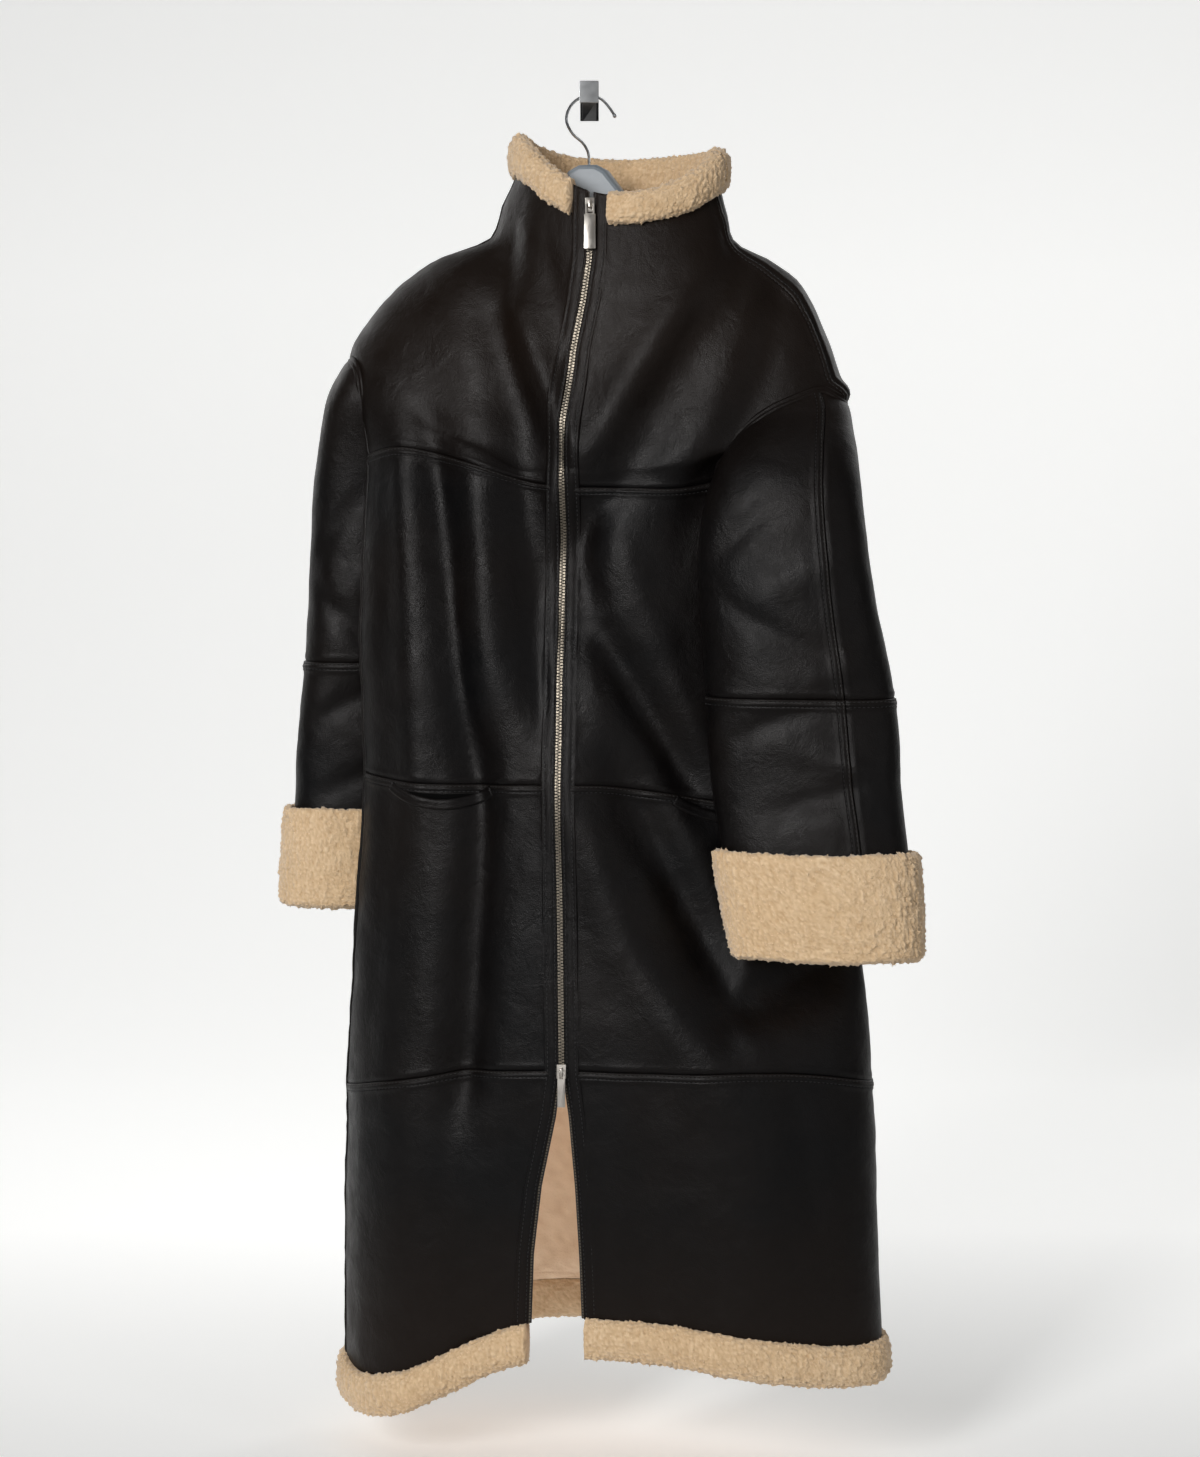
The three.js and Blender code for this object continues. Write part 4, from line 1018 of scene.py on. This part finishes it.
CLOSED_FROM, CLOSED_TO = -0.42, LOW_SEAM
closed = []
for side in (-1, 1):
    shift = 0.5 * (side > 0)
    closed.append((-side, along_line(CLOSED_FROM, CLOSED_TO, side, 0.0, 0.2, TOOTH_PITCH, shift)))
teeth("zip_teeth", ["zip_teeth_closed"], closed)
opened = [(-s, along_line(LOW_SEAM + 0.1, HEM_EDGE, s, 1.9, -1.0, TOOTH_PITCH)) for s in (-1, 1)]
teeth("zip_teeth_open", ["zip_teeth_open_left", "zip_teeth_open_right"], opened)
TAPE_PROFILE = [(-0.5, -0.5), (-0.5, 0.5), (0.5, 0.5), (0.5, -0.5)]
TAPES = [
    ("zip_tape", 1, 0.0, np.linspace(CLOSED_FROM - 0.1, CLOSED_TO, 300), 6.6),
    ("zip_tape_open_right", -1, 1.7, np.linspace(LOW_SEAM, HEM_EDGE, 120), 3.0),
    ("zip_tape_open_left", 1, 1.7, np.linspace(LOW_SEAM, HEM_EDGE, 120), 3.0),
]
for name, side, out, t, width in TAPES:
    points, normals = body_line(t, angle_at_line(t, zip_edge(side, out)), -1.4)
    strip_along(name, None, points, normals, width, 1.0, TAPE, TAPE_PROFILE)


# Wool rolls, cuffs
def wool_object(name, node, grid, closed=False, material=WOOL, height=3.4):
    """Curled wool on a smooth tube, given as a grid with its rows along and its columns round."""
    ahead = np.roll(grid, -1, axis=1) - np.roll(grid, 1, axis=1)
    down = np.roll(grid, -1, axis=0) - np.roll(grid, 1, axis=0) if closed else np.gradient(grid, axis=0)
    normal = unit(np.cross(ahead, down))
    centre = grid.mean(axis=1, keepdims=True)
    if np.mean(np.sum(normal * (grid - centre), -1)) < 0:
        normal = -normal
    warp = np.stack([value_noise(grid, 7.0, k) for k in (11, 12, 13)], -1) * 1.6
    crown, which = curls(grid + warp, CURL, 60)
    fine, _ = curls(grid + warp * 1.4, CURL * 0.5, 80)
    lump = value_noise(grid, 22.0, 14)
    out = height * (0.8 * crown * (0.55 + 0.9 * which) + 0.2 * fine) + 1.1 * lump - 0.6 * height
    # Curl height, also the mask of the painted shade in the creases
    pile = np.clip(0.65 * crown + 0.35 * fine, 0, 1)
    points = grid + normal * out[..., None]
    rows, columns = grid.shape[:2]
    verts = points.reshape(-1, 3)
    depth = pile.reshape(-1)
    if closed:
        faces = quads(rows, columns, closed=True).tolist()
        last = (rows - 1) * columns
        turn = [(c, (c + 1) % columns) for c in range(columns)]
        faces += [[last + c, c, d, last + d] for c, d in turn]
    else:
        first = points[0].mean(0) - (points[1] - points[0]).mean(0)
        last = points[-1].mean(0) + (points[-1] - points[-2]).mean(0)
        verts = np.concatenate([verts, [first, last]])
        depth = np.concatenate([depth, [0.5, 0.5]])
        faces = tube(rows, columns)
    made = mesh_object(name, verts, faces, [material], attributes={"pile": depth})
    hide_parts(node)
    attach(made, "coat")
    tufts(name + "_tufts", points, normal, pile)


# Tufts: sides of a lock, and its rings as (up, over, radius), the first two as shares of its length
TUFT_SIDES = 3
TUFT_RINGS = [(0.0, 0.0, 0.62), (0.55, 0.3, 0.55)]


def tufts(name, points, normal, pile, share=0.09):
    """Short curved locks standing out of the wool, so that its outline is fuzzy."""
    flat = points.reshape(-1, 3)
    n = normal.reshape(-1, 3)
    chosen = np.where((RNG.random(len(flat)) < share) & (pile.reshape(-1) > 0.45))[0]
    base = flat[chosen] - n[chosen] * 0.4
    lean = RNG.normal(0, 1, (len(chosen), 3))
    lean -= np.sum(lean * n[chosen], 1, keepdims=True) * n[chosen]
    lean /= np.maximum(np.linalg.norm(lean, axis=1, keepdims=True), 1e-6)
    side = np.cross(lean, n[chosen])
    length = RNG.uniform(0.9, 1.9, (len(chosen), 1))
    rings = []
    for up, over, radius in TUFT_RINGS:
        middle = base + (n[chosen] * up + lean * over) * length
        for k in range(TUFT_SIDES):
            a = 2 * math.pi * k / TUFT_SIDES
            rings.append(middle + (lean * math.cos(a) + side * math.sin(a)) * radius)
    rings.append(base + (n[chosen] * 0.8 + lean * 0.75) * length)
    verts = np.stack(rings, 1)
    per = verts.shape[1]
    shape = []
    for k in range(TUFT_SIDES):
        j = (k + 1) % TUFT_SIDES
        above, beside = TUFT_SIDES + k, TUFT_SIDES + j
        shape += [[k, j, beside], [k, beside, above], [above, beside, per - 1]]
    faces = (np.array(shape)[None] + (np.arange(len(chosen)) * per)[:, None, None]).reshape(-1, 3)
    depth = np.full(len(chosen) * per, 0.95)
    made = mesh_object(name, verts.reshape(-1, 3), faces, [WOOL], attributes={"pile": depth})
    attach(made, "coat")


def roll_grid(angles, t, height, upwards, girth=78, along=1.6):
    """Smooth surface of a roll along an edge of the body, its section as in the frame."""
    a = np.linspace(angles[0], angles[1], 800)
    run = run_along(body_surface(a, np.full(a.shape, t), fine=False))
    a = np.interp(np.arange(0.8, run[-1] - 0.6, along), run, a)
    place = np.full(a.shape, t)
    edge = body_surface(a, place, fine=False)
    inner = body_surface(a, place, -WALL, fine=False)
    out = edge - inner
    out[:, 2] = 0
    out = unit(out)
    middle = (edge + inner) / 2
    turn = np.linspace(0, 2 * math.pi, girth, endpoint=False)
    cos = np.sign(np.cos(turn)) * np.abs(np.cos(turn)) ** 0.85
    sin = np.sign(np.sin(turn)) * np.abs(np.sin(turn)) ** 0.85
    reach = np.where(np.cos(turn) > 0, ROLL_OUT + WALL / 2 - 1.0, ROLL_IN - 1.0)
    lift = 1 if upwards else -1
    tall = height(a)[:, None]
    wave = 1 + 0.05 * value_noise(edge, 45.0, 21)[:, None]
    grid = middle[:, None, :] + out[:, None, :] * (reach * cos)[None, :, None] * wave[..., None]
    overlap = np.where(cos > 0, 6.0 * cos, 1.5)
    up = (1 + sin) / 2
    grid[..., 2] += lift * (-overlap * (1 - up) + tall * up)
    return grid


def roll_angles(side, t, out):
    """Front roll's angles, from a distance beside the zip to the side seam."""
    near = float(angle_at_line(np.array([t]), zip_edge(side, out))[0])
    far = float(side_angle(t, side))
    return (near, far) if side > 0 else (far, near)


def back_angles(t):
    return tuple(float(a) for a in back_range(t))


def hem_height(angle):
    return HEM_ROLL_HEIGHT + 0 * angle


def collar_height(angle):
    rise = COLLAR_ROLL_AT_ZIP - COLLAR_ROLL_HEIGHT
    return COLLAR_ROLL_HEIGHT + rise * np.maximum(np.cos(angle), 0) ** 2


for side in (-1, 1):
    who = WEARER[side]
    angles = roll_angles(side, HEM_EDGE, TEETH_HALF + 1)
    wool_object(f"wool_hem_{who}", f"hem_roll_{who}", roll_grid(angles, HEM_EDGE, hem_height, False))
    angles = roll_angles(side, 0.0, TEETH_HALF + BAND_WIDTH + SEAM_GAP)
    wool_object(f"wool_collar_{who}", f"collar_roll_{who}", roll_grid(angles, 0.0, collar_height, True))
grid = roll_grid(back_angles(HEM_EDGE), HEM_EDGE, hem_height, False, 60, 2.6)
wool_object("wool_hem_back", "hem_roll_back", grid, material=WOOL_HEM_PAINTED_LIGHT)
wool_object("wool_collar_back", "collar_roll_back", roll_grid(back_angles(0.0), 0.0, collar_height, True))


# Cuffs: columns round, drop of one row of the sleeve, and how deep the wool reaches inside
CUFF_COLUMNS = 270
CUFF_DROP = 92.0
CUFF_INSIDE = -9.0


def cuff_grid(surface):
    """Smooth surface of a turned-up cuff: out over the top edge, down the outside and up inside."""
    section = []
    for a in math.pi * (1 - np.linspace(0, 1, 10)[:-1]):
        out = 1.0 + (CUFF_WOOL - 1.5) * (1 + math.cos(a)) / 2
        section.append((CUFF_START + 0.03 + 0.07 * (1 - math.sin(a)), out))
    for s in np.linspace(0, 1, 44)[:-1]:
        section.append((CUFF_START + 0.1 + 0.84 * s, CUFF_WOOL - 0.5 + 1.0 * math.sin(math.pi * s)))
    for a in math.pi * np.linspace(0, 1, 14)[:-1]:
        out = CUFF_INSIDE + (CUFF_WOOL + 8.5) * (1 + math.cos(a)) / 2
        section.append((CUFF_START + 0.94 + 0.1 * math.sin(a), out))
    for s in np.linspace(0, 1, 14):
        section.append((CUFF_START + 0.94 - 0.3 * s, CUFF_INSIDE))
    angle = np.linspace(-math.pi, math.pi, CUFF_COLUMNS, endpoint=False)
    grid = []
    for t, out in section:
        inner_t = min(t, SLEEVE_END)
        p = surface(angle, np.full(CUFF_COLUMNS, inner_t), out, fine=False)
        p[:, 2] -= (t - inner_t) * CUFF_DROP
        p[:, 2] += 3.0 * value_noise(p, 60.0, 31)
        grid.append(p)
    return np.stack(grid, 1)


for side, surface in SLEEVE.items():
    wool_object(f"wool_cuff_{side}", f"cuff_{side}", cuff_grid(surface), closed=True)


# Armhole seams, where each sleeve's surface meets the body's
def armhole_line(surface):
    """Points where the lines down a sleeve come out of the body, found by halving."""
    points = []
    for angle in np.linspace(-math.pi, math.pi, 120, endpoint=False):
        low, high = 0.0, 4.2
        start = surface(np.array([angle]), np.array([low]), fine=False)[0]
        end = surface(np.array([angle]), np.array([high]), fine=False)[0]
        if depth_inside(BODY_TREE, start) < 0 or depth_inside(BODY_TREE, end) > 0:
            continue
        for _ in range(18):
            half = (low + high) / 2
            p = surface(np.array([angle]), np.array([half]), fine=False)[0]
            if depth_inside(BODY_TREE, p) > 0:
                low = half
            else:
                high = half
        points.append(p)
    return np.array(points)


def smooth_loop(points, times):
    for _ in range(times):
        points = (np.roll(points, 1, 0) + 2 * points + np.roll(points, -1, 0)) / 4
    return points


def armhole_seam(side):
    points = smooth_loop(armhole_line(SLEEVE[side]), 3)
    loop = np.concatenate([points, points[:1]])
    run = run_along(loop)
    points = picked(loop, np.arange(0, run[-1], 3.0), run)
    normals = []
    for p in points:
        _, body_normal, _, _ = BODY_TREE.find_nearest(Vector(p))
        _, sleeve_normal, _, _ = SLEEVE_TREES[side].find_nearest(Vector(p))
        normals.append(np.array(body_normal + sleeve_normal))
    normals = unit(smooth_loop(np.array(normals), 6))
    line = points + normals * 0.6
    strip_along(f"armhole_seam_{side}", None, line, normals, 9.0, 2.2, LEATHER, LAP_PROFILE)


for side in SLEEVE:
    armhole_seam(side)

# Pocket welts, sagging under the hip seam, each under a black strip of painted shadow for its opening: ends
# by x, and sag
POCKETS = [("right", -193, -98, 0.115), ("left", 84, 176, 0.085)]
SHADOW_STRIP_PROFILE = [(-0.5, -0.6), (-0.3, 0.5), (0.3, 0.5), (0.5, -0.6)]
WELT_PROFILE = [
    (-0.5, -0.8), (-0.56, 0.2), (-0.4, 0.9), (-0.1, 1.0),
    (0.1, 0.72), (0.24, 0.95), (0.44, 0.7), (0.5, -0.8),
]
for who, from_x, to_x, sag in POCKETS:
    share = np.linspace(0, 1, 60)
    t = HIP_SEAM + 0.05 + sag * np.sin(math.pi * share) ** 0.8
    x = from_x + (to_x - from_x) * share
    angle = angle_at_line(t, lambda z: x)
    points, normals = body_line(t - 0.45 * sag * np.sin(math.pi * share) - 0.01, angle, 0.9)
    # The strip above each welt is painted shadow where the opening is.
    strip_along(f"pocket_mouth_{who}", None, points, normals, 7.0, 1.6, POCKET_SHADOW, SHADOW_STRIP_PROFILE)
    points, normals = body_line(t, angle, 0.6)
    name = f"pocket_welt_{who}"
    strip_along(f"leather_{name}", name, points, normals, 11.0, 2.6, LEATHER, WELT_PROFILE)


sew_stitches()

# Camera as in the photograph
IMAGE_HEIGHT = 1457.0
FOCAL_PIXELS = 2800.0
CAMERA_PLACE = (0.0108, -2.925, -0.3938)
CAMERA_DOWN = math.radians(4.665)
SENSOR = 24.0
camera_data = bpy.data.cameras.new("camera")
camera_data.sensor_fit = "VERTICAL"
camera_data.sensor_height = SENSOR
camera_data.lens = SENSOR * FOCAL_PIXELS / IMAGE_HEIGHT
camera = bpy.data.objects.new("camera", camera_data)
camera.location = CAMERA_PLACE
camera.rotation_euler = (math.pi / 2 - CAMERA_DOWN, 0, 0)
bpy.context.collection.objects.link(camera)
bpy.context.scene.camera = camera

# Floor and backdrop in one sweep
FLOOR_Z = -1.352
BACKDROP_GLOW = 0.54
pale, pale_nodes, pale_links, pale_shader = new_material("pale_studio")
set_inputs(pale_shader, {
    "Base Color": (0.8, 0.8, 0.79, 1), "Roughness": 0.9, "Emission Color": (1, 1, 0.99, 1),
    "Specular IOR Level": 0.1,
})
depth_axis = pale_nodes.new("ShaderNodeSeparateXYZ")
pale_links.new(pale_nodes.new("ShaderNodeTexCoord").outputs["Object"], depth_axis.inputs[0])
glow = pale_nodes.new("ShaderNodeMapRange")
set_inputs(glow, {"From Min": -0.7, "From Max": 0.7, "To Max": BACKDROP_GLOW})
pale_links.new(depth_axis.outputs["Y"], glow.inputs["Value"])
pale_links.new(glow.outputs["Result"], pale_shader.inputs["Emission Strength"])
sweep = [(-5.0, 0.0), (1.6, 0.0)]
sweep += [(1.6 + 1.4 * math.sin(a), 1.4 - 1.4 * math.cos(a)) for a in np.linspace(0.1, math.pi / 2, 12)]
sweep.append((3.0, 6.0))
verts = [(x, y, FLOOR_Z + z) for y, z in sweep for x in (-6.0, 6.0)]
faces = [(2 * i, 2 * i + 1, 2 * i + 3, 2 * i + 2) for i in range(len(sweep) - 1)]
floor_mesh = bpy.data.meshes.new("studio_sweep")
floor_mesh.from_pydata(verts, [], faces)
floor_mesh.materials.append(pale)
floor_mesh.polygons.foreach_set("use_smooth", np.ones(len(faces), bool))
floor = bpy.data.objects.new("studio_sweep", floor_mesh)
bpy.context.collection.objects.link(floor)

# Lights: place, aim, size, power and the width of the beam in degrees
LIGHTS = {
    "key": ((-1.7, -3.1, 0.6), (0, -0.2, -0.62), (1.0, 1.4), 17, 70),
    "top": ((0.2, -1.3, 2.2), (0, -0.2, -0.5), (2.6, 1.2), 2.6, 110),
    "right_fill": ((2.5, -2.5, 0.1), (0, -0.2, -0.7), (0.8, 1.8), 2.4, 80),
    "front_low": ((0.3, -3.8, -0.9), (0, -0.1, -1.0), (1.8, 0.8), 2.4, 90),
    "back_left": ((-2.1, 1.9, 0.7), (0, 0, -0.6), (0.9, 1.6), 2.5, 80),
    "back_right": ((2.1, 1.9, 0.9), (0, 0, -0.6), (0.9, 1.6), 2.5, 80),
}
for name, (place, aim, size, power, spread) in LIGHTS.items():
    data = bpy.data.lights.new(name, "AREA")
    data.shape = "RECTANGLE"
    data.size, data.size_y = size
    data.energy = power
    data.spread = math.radians(spread)
    lamp = bpy.data.objects.new(name, data)
    lamp.location = place
    lamp.rotation_euler = (Vector(aim) - Vector(place)).to_track_quat("-Z", "Y").to_euler()
    bpy.context.collection.objects.link(lamp)

world = bpy.data.worlds.new("studio")
world.use_nodes = True
set_inputs(world.node_tree.nodes["Background"], {"Color": (1, 1, 1, 1), "Strength": 0.08})
bpy.context.scene.world = world
bpy.context.scene.view_settings.view_transform = "Standard"


def rounded(node, radius, material, body, slot):
    """The frame's own solid with its edges rounded, in its place."""
    source = bpy.data.objects[node]
    mesh = source.data.copy()
    mesh.name = f"{node}_rounded"
    mesh.materials.clear()
    mesh.materials.append(material)
    made = bpy.data.objects.new(mesh.name, mesh)
    made.matrix_world = source.matrix_world.copy()
    bpy.context.collection.objects.link(made)
    weld = made.modifiers.new("weld", "WELD")
    weld.merge_threshold = 0.00005
    bevel = made.modifiers.new("bevel", "BEVEL")
    bevel.width = radius * MM
    bevel.segments = 3
    bevel.limit_method = "ANGLE"
    bevel.angle_limit = math.radians(35)
    made.data = bpy.data.meshes.new_from_object(made.evaluated_get(bpy.context.evaluated_depsgraph_get()))
    made.modifiers.clear()
    made.data.polygons.foreach_set("use_smooth", np.ones(len(made.data.polygons), bool))
    made.data.set_sharp_from_angle(angle=math.radians(40))
    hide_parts(node)
    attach(made, body)


# Radius, material, body and slot of each
FITTINGS = {
    "slider_top": (0.7, PULL_METAL, "coat", "zip_metal"),
    "slider_bottom": (0.7, PULL_METAL, "coat", "zip_metal"),
    "pull_top": (0.55, PULL_METAL, "top_pull", "zip_metal"),
    "pull_bottom": (0.45, PULL_METAL, "bottom_pull", "zip_metal"),
    "wall_hook": (0.8, HOOK_BLACK, "coat", "hook_black"),
    "wall_hook_lip": (0.8, LIP_SILVER, "coat", "steel"),
}
for node, values in FITTINGS.items():
    rounded(node, *values)
for node, material in {"hanger_body": HANGER_GREY, "hanger_wire": STEEL}.items():
    mesh = bpy.data.objects[node].data
    mesh.materials.clear()
    mesh.materials.append(material)
